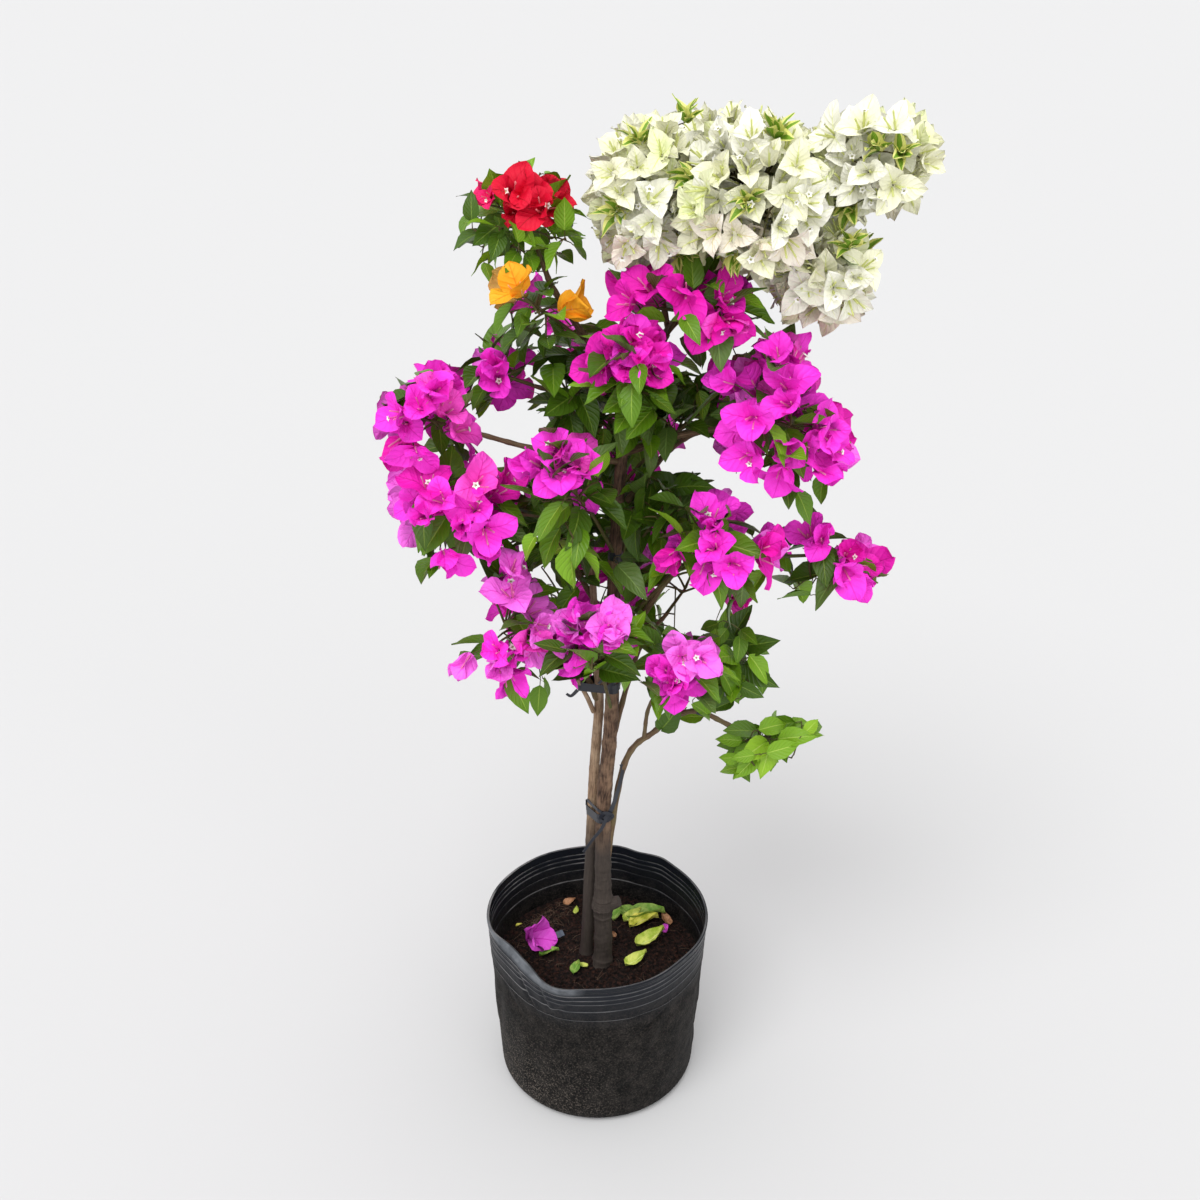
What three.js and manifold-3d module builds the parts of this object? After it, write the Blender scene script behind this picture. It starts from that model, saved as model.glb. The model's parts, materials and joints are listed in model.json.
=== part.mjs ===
// Bougainvillea grafted with several colours, trained as a small standard in a black nursery bag.
// Millimetres, +Z up, front towards -Y. The origin is the centre of the bag's flat underside.
import * as THREE from "three";
import { mergeVertices } from "three/addons/utils/BufferGeometryUtils.js";
import Module from "manifold-3d";

const wasm = await Module();
wasm.setup();

// ---------------------------------------------------------------- driving dimensions
const bag = {
  rimRadius: 150, waistRadius: 144, waistHeight: 150, footRadius: 136.5, footRounding: 16,
  height: 254, wall: 2.6, floor: 4, sides: 36,
};
const soilLevel = 175; // top of the potting mix above the ground
const gap = 0.3; // clearance between pieces that touch
const leaf = { length: 62, width: 40, widest: 0.42, thickness: 2.4, fold: 5, sunk: 1.6, spacing: 26 };
const bloom = { radius: 30, waist: 0.5, cup: 8, thickness: 4.4, spacing: 43 };
const stemRadius = 2.6; // the stem of a mass, where it leaves its bough
const twigRadius = 1.7;
const twigTipRadius = 1.3;
const room = { twig: 2.6, piece: 1.8 }; // what twigs, and leaves and blooms, keep clear of limbs
// Places in a mass, from 0 at its heart to 1 at its edge: where its bough ends, and where a bloom is tried.
const boughEnds = 0.72;
const bloomPlaces = [0.88, 0.76, 0.64, 0.5, 0.36];
const leafPlaces = [0.95, 0.85, 0.75, 0.65, 0.55, 0.45]; // shares of its twig where a leaf is tried
const leavesOnLeafyTwig = 3;
// Shorter edges are closed up: those left where twigs are fused, and those left by a cut.
const leastEdge = 0.5;
const leastCutEdge = 0.03;
const goldenAngle = Math.PI * (3 - Math.sqrt(5));

// The main stem: points and radii from under the soil, where it is cut off level, to the pruned top.
const trunkLine = [
  [5, -15, soilLevel - 12, 17], [8, -12, 192, 12.4], [8, -9, 250, 11.5], [8, -8, 273, 15], [8, -7, 298, 11.2],
  [8, -6, 346, 10.6], [9, -6, 444, 9.6], [16, -5, 534, 9], [19, -4, 594, 8.7], [20, -2, 681, 8.6],
  [21, 0, 764, 8], [27, 0, 895, 6.6], [35, 0, 969, 5.8], [40, 0, 1030, 5],
];
// The stub of a branch sawn off the knot near its foot.
const stubLine = [[8, -8, 270, 9], [22, -9, 277, 9], [30, -10, 281, 7.5]];
// The second stem stands close beside it and ends in the middle of the crown.
const secondLine = [
  [-17, 4, soilLevel - 12, 10.6], [-14, 5, 204, 8.4], [-10, 8, 309, 7.8], [-7, 10, 392, 7.2], [-4, 11, 472, 6.8],
  [0, 12, 534, 6.4], [3, 13, 587, 6], [0, 14, 650, 5], [-4, 14, 737, 4.4], [-8, 14, 811, 3.8],
];

// Each mass: kind of growth, middle and reach of its space, count of twigs, and the limb it grows from.
// "along" is the share of that limb's length; a mass with a bough starts at the bough's tip instead.
const masses = [
  { name: "white_left", kind: "white", at: [56, 4, 1222], reach: [74, 74, 96], twigs: 15 },
  { name: "white_middle", kind: "white", at: [168, -44, 1240], reach: [84, 70, 84], twigs: 15 },
  { name: "white_right", kind: "white", at: [300, 14, 1254], reach: [84, 74, 74], twigs: 15 },
  { name: "white_low", kind: "white", at: [262, -12, 1150], reach: [68, 64, 70], twigs: 13 },
  { name: "white_back", kind: "white", at: [150, 136, 1196], reach: [100, 82, 86], twigs: 12 },
  { name: "red", kind: "red", at: [-76, -20, 1204], reach: [78, 66, 72], twigs: 14 },
  { name: "orange", kind: "orange", at: [-66, -44, 1116], reach: [66, 54, 52], twigs: 14 },
  { name: "magenta_left_high", kind: "magenta", at: [-108, 14, 1018], reach: [54, 54, 62], twigs: 14 },
  { name: "magenta_left_top", kind: "magenta", at: [-196, -24, 980], reach: [64, 60, 72], twigs: 16 },
  { name: "magenta_left", kind: "magenta", at: [-166, -48, 884], reach: [94, 68, 76], twigs: 16 },
  { name: "magenta_front_left", kind: "magenta", at: [-28, -110, 934], reach: [56, 54, 84], twigs: 14,
    from: "trunk", along: 0.79 },
  { name: "magenta_low_left", kind: "magenta", at: [-110, -58, 734], reach: [84, 74, 106], twigs: 15 },
  { name: "magenta_low_front", kind: "magenta", at: [-2, -110, 726], reach: [66, 58, 66], twigs: 13,
    from: "trunk", along: 0.6 },
  { name: "magenta_top", kind: "magenta", at: [92, -54, 1120], reach: [90, 60, 56], twigs: 16 },
  { name: "magenta_front_high", kind: "magenta", at: [38, -104, 1064], reach: [58, 50, 48], twigs: 14,
    from: "trunk", along: 0.94 },
  { name: "magenta_right", kind: "magenta", at: [206, -62, 994], reach: [84, 74, 94], twigs: 17 },
  { name: "magenta_right_middle", kind: "magenta", at: [130, -84, 855], reach: [76, 62, 70], twigs: 14,
    from: "trunk", along: 0.7 },
  { name: "magenta_spur", kind: "magenta", at: [272, -16, 806], reach: [82, 54, 62], twigs: 14 },
  { name: "magenta_low_right", kind: "magenta", at: [98, -74, 690], reach: [52, 52, 54], twigs: 12 },
  { name: "green_low_right", kind: "leafy", at: [170, -4, 660], reach: [66, 64, 72], twigs: 13 },
  { name: "green_spray", kind: "leafy", at: [222, 16, 522], reach: [74, 62, 54], twigs: 14 },
  { name: "green_high_left", kind: "leafy", at: [-32, 0, 996], reach: [74, 72, 70], twigs: 12,
    from: "trunk", along: 0.89 },
  { name: "green_high_right", kind: "leafy", at: [104, 0, 966], reach: [70, 72, 70], twigs: 12,
    from: "trunk", along: 0.84 },
  { name: "green_middle_left", kind: "leafy", at: [-50, 4, 830], reach: [72, 70, 72], twigs: 12,
    from: "second_stem", along: 0.93 },
  { name: "green_middle_right", kind: "leafy", at: [82, -4, 868], reach: [66, 70, 70], twigs: 12,
    from: "trunk", along: 0.76 },
  { name: "back_top", kind: "magenta", at: [40, 150, 1028], reach: [84, 70, 74], twigs: 11 },
  { name: "back_right", kind: "magenta", at: [206, 142, 934], reach: [80, 76, 82], twigs: 11 },
  { name: "back_left", kind: "magenta", at: [-140, 132, 858], reach: [86, 76, 80], twigs: 11 },
  { name: "back_middle", kind: "magenta", at: [50, 170, 818], reach: [86, 72, 82], twigs: 12,
    from: "trunk", along: 0.74 },
  { name: "back_low_right", kind: "magenta", at: [118, 138, 684], reach: [80, 70, 74], twigs: 11 },
  { name: "back_low_left", kind: "magenta", at: [-46, 144, 660], reach: [80, 70, 80], twigs: 11 },
];

// Boughs: parent limb, share of its length, the mass at the tip, root and tip radius, and the points between.
const boughs = [
  { name: "bough_low_left", from: "second_stem", along: 0.66, to: "magenta_low_left", radii: [4.4, 3],
    via: [[-22, 2, 640]] },
  { name: "bough_low_right", from: "trunk", along: 0.315, to: "green_spray", radii: [4.2, 3],
    via: [[34, 0, 492], [74, 4, 545], [122, 6, 574]] },
  { name: "bough_low_right_fork", from: "bough_low_right", along: 0.76, to: "green_low_right",
    radii: [2.6, 2.2], via: [[158, 4, 580]] },
  { name: "bough_low_right_shoot", from: "bough_low_right", along: 0.42, to: "magenta_low_right",
    radii: [2.6, 2.2], via: [[66, -8, 590]] },
  { name: "bough_left", from: "second_stem", along: 0.985, to: "magenta_left", radii: [3.4, 2.6],
    via: [[-50, -24, 856]] },
  { name: "bough_left_top", from: "trunk", along: 0.865, to: "magenta_left_top", radii: [3.8, 2.6],
    via: [[-60, -22, 940]] },
  { name: "bough_left_high", from: "trunk", along: 0.91, to: "magenta_left_high", radii: [3.4, 2.4],
    via: [[-34, 14, 992]] },
  { name: "bough_red", from: "trunk", along: 0.965, to: "red", radii: [4, 2.8],
    via: [[-10, -8, 1066], [-46, -14, 1124]] },
  { name: "bough_orange", from: "bough_red", along: 0.34, to: "orange", radii: [2.4, 2],
    via: [[-24, -24, 1078]] },
  { name: "bough_white", from: "trunk", along: 0.985, to: "white_middle", radii: [4.8, 3.2],
    via: [[84, -4, 1082], [136, -14, 1142]] },
  { name: "bough_white_left", from: "bough_white", along: 0.3, to: "white_left", radii: [3.4, 2.6],
    via: [[72, 12, 1112]] },
  { name: "bough_white_right", from: "bough_white", along: 0.7, to: "white_right", radii: [3.4, 2.6],
    via: [[196, 8, 1188]] },
  { name: "bough_white_low", from: "bough_white", along: 0.52, to: "white_low", radii: [3.2, 2.4],
    via: [[180, -2, 1138]] },
  { name: "bough_white_back", from: "bough_white", along: 0.42, to: "white_back", radii: [3.4, 2.6],
    via: [[120, 46, 1136]] },
  { name: "bough_top", from: "trunk", along: 0.955, to: "magenta_top", radii: [3.6, 2.6],
    via: [[62, -30, 1046]] },
  { name: "bough_right", from: "trunk", along: 0.875, to: "magenta_right", radii: [4.2, 2.8],
    via: [[92, -26, 960]] },
  { name: "bough_spur", from: "trunk", along: 0.66, to: "magenta_spur", radii: [4, 2.6],
    via: [[90, -10, 776], [150, -14, 800]] },
  { name: "bough_back_top", from: "trunk", along: 0.93, to: "back_top", radii: [3.6, 2.6],
    via: [[42, 44, 1012]] },
  { name: "bough_back_right", from: "trunk", along: 0.82, to: "back_right", radii: [4, 2.8],
    via: [[92, 58, 914]] },
  { name: "bough_back_left", from: "second_stem", along: 0.88, to: "back_left", radii: [3.6, 2.6],
    via: [[-56, 50, 806]] },
  { name: "bough_back_low_right", from: "trunk", along: 0.52, to: "back_low_right", radii: [3.6, 2.6],
    via: [[52, 40, 640]] },
  { name: "bough_back_low_left", from: "second_stem", along: 0.72, to: "back_low_left", radii: [3.4, 2.6],
    via: [[-14, 46, 640]] },
];

// Each kind of growth: the leaves under a bloom, and the height in the space, from -1 at its foot to 1 at
// its top, above which a twig ends in a bloom. The other twigs end at a share of the reach and bear leaves.
const kinds = {
  magenta: { colour: 0xe21ccf, leaves: 1, bloomsAbove: -0.6, leafyShare: 0.6 },
  white: { colour: 0xeff0dc, leaves: 0, bloomsAbove: -1, leafyShare: 0.6 },
  red: { colour: 0xd4103c, leaves: 1, bloomsAbove: 0.1, leafyShare: 0.55 },
  orange: { colour: 0xf49a2c, leaves: 1, bloomsAbove: -0.2, leafyShare: 0.5 },
  leafy: { colour: 0x3f7f22, leaves: 3, bloomsAbove: 1, leafyShare: 0.5 },
};

// ---------------------------------------------------------------- meshes and solids
const vector = (a) => new THREE.Vector3(a[0], a[1], a[2]);
const up = new THREE.Vector3(0, 0, 1);

// Repeatable random numbers from 0 to 1.
function seeded(seed) {
  let state = seed;
  return () => {
    state = (1664525 * state + 1013904223) % 4294967296;
    return state / 4294967296;
  };
}

function meshOf(points, faces) {
  const geometry = new THREE.BufferGeometry();
  geometry.setAttribute("position", new THREE.Float32BufferAttribute(points.flatMap((p) => p.toArray()), 3));
  geometry.setIndex(faces.flat());
  return geometry;
}

function solidOf(geometry) {
  const bare = geometry.clone();
  bare.deleteAttribute("normal");
  bare.deleteAttribute("uv");
  const merged = mergeVertices(bare, 1e-4);
  return new wasm.Manifold(new wasm.Mesh({
    numProp: 3,
    vertProperties: merged.attributes.position.array,
    triVerts: new Uint32Array(merged.index.array),
  }));
}

function geometryOf(solid) {
  const mesh = solid.getMesh();
  const geometry = new THREE.BufferGeometry();
  geometry.setAttribute("position", new THREE.BufferAttribute(mesh.vertProperties, 3));
  geometry.setIndex(new THREE.BufferAttribute(mesh.triVerts, 1));
  geometry.computeVertexNormals();
  return geometry;
}

// The largest connected body of a solid, with loose scraps dropped.
const largest = (solid) => solid.decompose().sort((a, b) => b.volume() - a.volume())[0];

// A tapering limb: rings of "sides" corners round each point of a line, with flat ends.
function loft(points, radii, sides, extra = 0) {
  const corners = [];
  const faces = [];
  let across = null;
  points.forEach((point, i) => {
    const ahead = points[Math.min(i + 1, points.length - 1)].clone();
    const tangent = ahead.sub(points[Math.max(i - 1, 0)]).normalize();
    const first = Math.abs(tangent.x) < 0.9 ? new THREE.Vector3(1, 0, 0) : new THREE.Vector3(0, 1, 0);
    across = (across || first).clone().addScaledVector(tangent, -(across || first).dot(tangent)).normalize();
    const side = new THREE.Vector3().crossVectors(tangent, across);
    for (let k = 0; k < sides; k += 1) {
      const angle = (2 * Math.PI * k) / sides;
      const radius = radii[i] + extra;
      corners.push(point.clone()
        .addScaledVector(across, radius * Math.cos(angle))
        .addScaledVector(side, radius * Math.sin(angle)));
    }
  });
  const last = (points.length - 1) * sides;
  for (let i = 0; i < last; i += sides) {
    for (let k = 0; k < sides; k += 1) {
      const next = (k + 1) % sides;
      faces.push([i + k, i + next, i + sides + next], [i + k, i + sides + next, i + sides + k]);
    }
  }
  for (let k = 1; k < sides - 1; k += 1) {
    faces.push([0, k + 1, k], [last, last + k, last + k + 1]);
  }
  return meshOf(corners, faces);
}

// Two directions square to "normal", turned by "spin".
function spread(normal, spin) {
  const helper = Math.abs(normal.z) < 0.8 ? up : new THREE.Vector3(1, 0, 0);
  const first = new THREE.Vector3().crossVectors(helper, normal).normalize().applyAxisAngle(normal, spin);
  return [first, new THREE.Vector3().crossVectors(normal, first)];
}

// One leaf: a folded blade of eight faces from its root to its tip.
function leafPoints(root, direction, size) {
  const side = new THREE.Vector3().crossVectors(direction, up).normalize();
  const face = new THREE.Vector3().crossVectors(side, direction);
  const widest = root.clone().addScaledVector(direction, leaf.widest * size * leaf.length);
  return [
    root.clone().addScaledVector(direction, -leaf.sunk),
    root.clone().addScaledVector(direction, size * leaf.length),
    widest.clone().addScaledVector(side, 0.5 * size * leaf.width).addScaledVector(face, leaf.fold),
    widest.clone().addScaledVector(side, -0.5 * size * leaf.width).addScaledVector(face, leaf.fold),
    widest.clone().addScaledVector(face, leaf.thickness / 2),
    widest.clone().addScaledVector(face, -leaf.thickness / 2),
  ];
}
const leafFaces = [
  [0, 2, 4], [2, 1, 4], [1, 3, 4], [3, 0, 4], [2, 0, 5], [1, 2, 5], [3, 1, 5], [0, 3, 5],
];

// One bloom: three bracts joined in a shallow cup, as a three-pointed star, with its middle last.
function bloomPoints(middle, facing, spin) {
  const [first, second] = spread(facing, spin);
  const rim = [0, 1, 2, 3, 4, 5].map((k) => {
    const tip = k % 2 === 0;
    const radius = bloom.radius * (tip ? 1 : bloom.waist);
    return middle.clone()
      .addScaledVector(first, radius * Math.cos((Math.PI * k) / 3))
      .addScaledVector(second, radius * Math.sin((Math.PI * k) / 3))
      .addScaledVector(facing, bloom.cup * (tip ? 0.6 : 1));
  });
  return [...rim, middle.clone().addScaledVector(facing, bloom.thickness)];
}

// A twig with the bloom that it widens into: root ring, ring under the bloom, rim of the bloom, middle.
function sprig(start, points, facing, spin) {
  const [first, second] = spread(facing, spin);
  const ring = (centre, radius) => [0, 1, 2].map((k) => centre.clone()
    .addScaledVector(first, radius * Math.cos((2 * Math.PI * k) / 3))
    .addScaledVector(second, radius * Math.sin((2 * Math.PI * k) / 3)));
  const under = points[6].clone().addScaledVector(facing, -bloom.thickness);
  const corners = [...ring(start, twigRadius), ...ring(under, twigRadius), ...points];
  const faces = [[0, 2, 1]];
  for (let k = 0; k < 3; k += 1) {
    const next = (k + 1) % 3;
    const [tip, waist, tipAfter] = [6 + 2 * k, 7 + 2 * k, 6 + 2 * next];
    faces.push([k, next, 3 + next], [k, 3 + next, 3 + k]);
    faces.push([3 + k, waist, tip], [3 + k, 3 + next, waist], [3 + next, tipAfter, waist]);
    faces.push([tip, waist, 12], [waist, tipAfter, 12]);
  }
  return meshOf(corners, faces);
}

// ---------------------------------------------------------------- the bag and its soil
// The soft rim is pushed in at the front left and a little at the front right, and bulges between.
const rimDents = [
  { degrees: 218, width: 0.3, push: -14 }, { degrees: 243, width: 0.16, push: 5 },
  { degrees: 318, width: 0.3, push: -5 },
];

function rimPush(angle) {
  return rimDents.reduce((sum, dent) => {
    const turn = angle - THREE.MathUtils.degToRad(dent.degrees);
    const away = Math.atan2(Math.sin(turn), Math.cos(turn));
    return sum + dent.push * Math.exp(-((away / dent.width) ** 2));
  }, 0);
}

function bagGeometry() {
  const { rimRadius, waistRadius, waistHeight, footRadius, footRounding, height, wall, floor, sides } = bag;
  const outer = [[0, 0], [footRadius - footRounding, 0], [footRadius - 5, 5], [footRadius, footRounding],
    [waistRadius, waistHeight], [rimRadius, height]];
  const inner = [[rimRadius - wall, height], [waistRadius - wall, waistHeight],
    [footRadius - wall, footRounding], [footRadius - footRounding, floor], [0, floor]];
  const profile = [...outer, ...inner].map(([r, z]) => new THREE.Vector2(r, z));
  const geometry = new THREE.LatheGeometry(profile, sides).rotateX(Math.PI / 2);
  const place = geometry.attributes.position;
  for (let i = 0; i < place.count; i += 1) {
    const radius = Math.hypot(place.getX(i), place.getY(i));
    if (radius < footRadius / 2) continue;
    const fade = THREE.MathUtils.smoothstep(place.getZ(i), waistHeight, height);
    const push = 1 + (fade * rimPush(Math.atan2(place.getY(i), place.getX(i)))) / radius;
    place.setXY(i, place.getX(i) * push, place.getY(i) * push);
  }
  return geometry;
}

// The mix fills the bag up to its level, with a low mound round the stems.
function soilGeometry() {
  const { waistRadius, waistHeight, footRadius, footRounding, wall, floor, sides } = bag;
  const clear = wall + 2 * gap + 1.4; // the faceted wall cuts inside its own circle
  const edge = waistRadius - clear;
  const profile = [[0, floor + gap], [footRadius - footRounding - 2, floor + gap],
    [footRadius - clear - 1, footRounding + 2], [edge, waistHeight], [edge, soilLevel - 7],
    [100, soilLevel - 3], [46, soilLevel], [0, soilLevel]].map(([r, z]) => new THREE.Vector2(r, z));
  return new THREE.LatheGeometry(profile, sides / 2).rotateX(Math.PI / 2);
}

// ---------------------------------------------------------------- limbs
const limbs = {};

// A limb: a smooth curve through its points, cut into "steps" straight stretches between each two of them.
function limbAlong(points, radii, sides, steps) {
  const curve = new THREE.CatmullRomCurve3(points, false, "catmullrom", 0.5);
  const count = steps * (points.length - 1);
  const radiusAt = (i) => {
    const low = Math.min(Math.floor(i / steps), radii.length - 2);
    return THREE.MathUtils.lerp(radii[low], radii[low + 1], i / steps - low);
  };
  return { curve, sides, points: curve.getPoints(count), radii: [...Array(count + 1).keys()].map(radiusAt) };
}

function addStem(name, line, sides) {
  limbs[name] = limbAlong(line.map(vector), line.map((p) => p[3]), sides, 1);
}

// Where a line from "outside" to the middle of a mass enters its space, at a share of its reach.
function entry(mass, outside, share) {
  const away = outside.clone().sub(vector(mass.at));
  const reach = vector(mass.reach);
  return vector(mass.at).addScaledVector(away, share / away.clone().divide(reach).length());
}

function addBough(bough) {
  const mass = masses.find((m) => m.name === bough.to);
  const via = bough.via.map(vector);
  const start = limbs[bough.from].curve.getPoint(bough.along);
  const points = [start, ...via, entry(mass, via[via.length - 1], boughEnds)];
  const radii = points.map((p, i) => THREE.MathUtils.lerp(bough.radii[0], bough.radii[1], i / (points.length - 1)));
  limbs[bough.name] = { ...limbAlong(points, radii, 5, 2), parent: bough.from };
  mass.bough = bough.name;
}

// A solid cut clear of the limb that bears it.
function clearOf(solid, parent) {
  const { points, radii, sides } = limbs[parent];
  return largest(solid.subtract(solidOf(loft(points, radii, sides, gap))).simplify(leastCutEdge));
}

function limbSolid(name) {
  const limb = limbs[name];
  const solid = solidOf(loft(limb.points, limb.radii, limb.sides));
  return limb.parent ? clearOf(solid, limb.parent) : solid.trimByPlane([0, 0, 1], soilLevel + gap);
}

// The trunk has the stub of a sawn branch on its knot.
function trunkSolid() {
  const stub = loft(stubLine.map(vector), stubLine.map((p) => p[3]), 8);
  return limbSolid("trunk").add(solidOf(stub));
}

// ---------------------------------------------------------------- masses of leaves and bracts
// How far out a point lies in the space of a mass: 0 in its middle, 1 at its edge.
const depth = (mass, p) => Math.hypot(...mass.at.map((m, i) => (p.getComponent(i) - m) / mass.reach[i]));

// A point belongs to a mass if it lies inside its reach and deeper in it than in any neighbour.
function inSpace(mass, p) {
  const own = depth(mass, p);
  return own < 1 && masses.every((other) => other === mass || depth(other, p) > own + 0.03);
}

// Whether a point lies closer than "clearance" to a line of points with a radius at each.
function near(line, p, clearance) {
  return line.points.slice(1).some((q, i) => {
    const foot = new THREE.Line3(line.points[i], q).closestPointToPoint(p, true, new THREE.Vector3());
    return foot.distanceTo(p) < line.radii[i] + clearance;
  });
}

// Points spread over a thin piece: its corners, and a third and two thirds of the way between each two.
function samples(points) {
  const between = points.flatMap((p) => points.filter((q) => q !== p).map((q) => p.clone().lerp(q, 1 / 3)));
  return [...points, ...between];
}

// A piece fits if all of it lies in its mass's space and clear of every limb and every other stem.
function fits(mass, points, clearance) {
  const others = [...Object.values(limbs), ...masses.filter((m) => m !== mass).map((m) => m.stem)];
  return samples(points).every((p) => inSpace(mass, p) && !others.some((line) => near(line, p, clearance)));
}

const twigFits = (mass, twig, end) => fits(mass, [twig.start.clone().lerp(end, 0.4), end], room.twig);

// The stem of a mass runs from its bough's tip, or from the limb that bears it, to the heart of the mass.
function stemLine(mass) {
  const middle = vector(mass.at);
  const radii = [stemRadius, stemRadius, twigRadius];
  if (!mass.bough) {
    const root = limbs[mass.from].curve.getPoint(mass.along);
    const lifted = root.clone().lerp(middle, 0.5).addScaledVector(up, 6);
    return { points: [root, lifted, middle], radii };
  }
  const limb = limbs[mass.bough];
  const tip = limb.points[limb.points.length - 1];
  const onward = tip.clone().sub(limb.points[limb.points.length - 2]).normalize();
  const root = tip.clone().addScaledVector(onward, gap);
  return { points: [root, root.clone().lerp(middle, 0.5), middle], radii };
}

// Where twig number k starts on the stem, and the way it points: evenly to all sides by the golden angle.
function twigStart(mass, k, random) {
  const height = 1 - (2 * (k + 0.5)) / mass.twigs;
  const turn = k * goldenAngle + 0.7 * random();
  const flat = Math.sqrt(1 - height * height);
  const way = new THREE.Vector3(flat * Math.cos(turn), flat * Math.sin(turn), height);
  const along = 0.95 - 0.8 * ((k + 0.5 * random()) / mass.twigs);
  return { start: mass.stem.points[1].clone().lerp(mass.stem.points[2], along), way, height };
}

// A new piece keeps its middle clear of the middles of the pieces that its mass already bears.
function settle(mass, points, spacing) {
  const middle = points.reduce((sum, p) => sum.add(p), new THREE.Vector3()).divideScalar(points.length);
  if (mass.settled.some((other) => other.distanceTo(middle) < spacing)) return false;
  if (!fits(mass, points, room.piece)) return false;
  mass.settled.push(middle);
  return true;
}

// The bloom of a twig stands as far out as it fits, facing outward and a little up.
function bloomOnTwig(mass, twig, turn) {
  const outward = twig.way.clone().multiply(vector(mass.reach));
  const facing = twig.way.clone().addScaledVector(up, 0.2).normalize();
  for (const share of bloomPlaces) {
    const middle = vector(mass.at).addScaledVector(outward, share);
    const points = bloomPoints(middle, facing, turn);
    if (twigFits(mass, twig, middle) && settle(mass, points, bloom.spacing)) {
      return { middle, mesh: sprig(twig.start, points, facing, turn) };
    }
  }
  return null;
}

// A leaf leaves its twig sideways and droops a little; its root moves inward until the leaf fits.
function leafOnTwig(mass, twig, end, number, turn) {
  const onward = end.clone().sub(twig.start).normalize();
  for (const share of leafPlaces) {
    const [side] = spread(onward, number * goldenAngle + turn + 9 * share);
    const direction = side.addScaledVector(onward, 0.8).addScaledVector(up, -0.2).normalize();
    const root = twig.start.clone().lerp(end, share - 0.06 * number);
    const points = leafPoints(root, direction, 0.74 + 0.3 * share);
    if (settle(mass, points, leaf.spacing)) return meshOf(points, leafFaces);
  }
  return null;
}

function massSolid(mass, number) {
  const random = seeded(101 + 37 * number);
  const growth = kinds[mass.kind];
  const pieces = [loft(mass.stem.points, mass.stem.radii, 3)];
  mass.settled = [];
  for (let k = 0; k < mass.twigs; k += 1) {
    const twig = twigStart(mass, k, random);
    const turns = [0, 1, 2, 3, 4].map(() => 2 * Math.PI * random());
    const outward = twig.way.clone().multiply(vector(mass.reach));
    const short = vector(mass.at).addScaledVector(outward, growth.leafyShare);
    const bloomHere = twig.height > growth.bloomsAbove ? bloomOnTwig(mass, twig, turns[0]) : null;
    const end = bloomHere ? bloomHere.middle : short;
    if (!bloomHere && !twigFits(mass, twig, end)) continue;
    const count = bloomHere ? growth.leaves : leavesOnLeafyTwig;
    const tried = turns.slice(1, count + 1).map((turn, n) => leafOnTwig(mass, twig, end, n, turn));
    const leaves = tried.filter(Boolean);
    const stalk = bloomHere ? bloomHere.mesh : loft([twig.start, end], [twigRadius, twigTipRadius], 3);
    if (bloomHere || leaves.length) pieces.push(stalk, ...leaves);
  }
  const whole = wasm.Manifold.union(pieces.map(solidOf)).asOriginal().simplify(leastEdge);
  return clearOf(largest(whole), mass.bough || mass.from);
}

// ---------------------------------------------------------------- the assembly
const finishes = {
  bag: new THREE.MeshStandardMaterial({ color: 0x1c1e22, roughness: 0.55, metalness: 0 }),
  soil: new THREE.MeshStandardMaterial({ color: 0x2c1a12, roughness: 1, metalness: 0 }),
  bark: new THREE.MeshStandardMaterial({ color: 0x7a5f48, roughness: 0.9, metalness: 0 }),
};

const plant = new THREE.Group();

function addMesh(name, geometry, material) {
  const mesh = new THREE.Mesh(geometry, material);
  mesh.name = name;
  plant.add(mesh);
}

addMesh("bag", bagGeometry(), finishes.bag);
addMesh("soil", soilGeometry(), finishes.soil);

addStem("trunk", trunkLine, 11);
addStem("second_stem", secondLine, 8);
boughs.forEach(addBough);
for (const mass of masses) mass.stem = stemLine(mass);
addMesh("trunk", geometryOf(trunkSolid()), finishes.bark);
addMesh("second_stem", geometryOf(limbSolid("second_stem")), finishes.bark);
for (const bough of boughs) addMesh(bough.name, geometryOf(limbSolid(bough.name)), finishes.bark);

masses.forEach((mass, number) => {
  const material = new THREE.MeshStandardMaterial({ color: kinds[mass.kind].colour, roughness: 0.6 });
  addMesh(mass.name, geometryOf(massSolid(mass, number)), material);
});

export default plant;
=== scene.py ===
import json
import math

import bmesh
import bpy
import numpy as np
from mathutils import Matrix, Vector, noise

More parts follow.
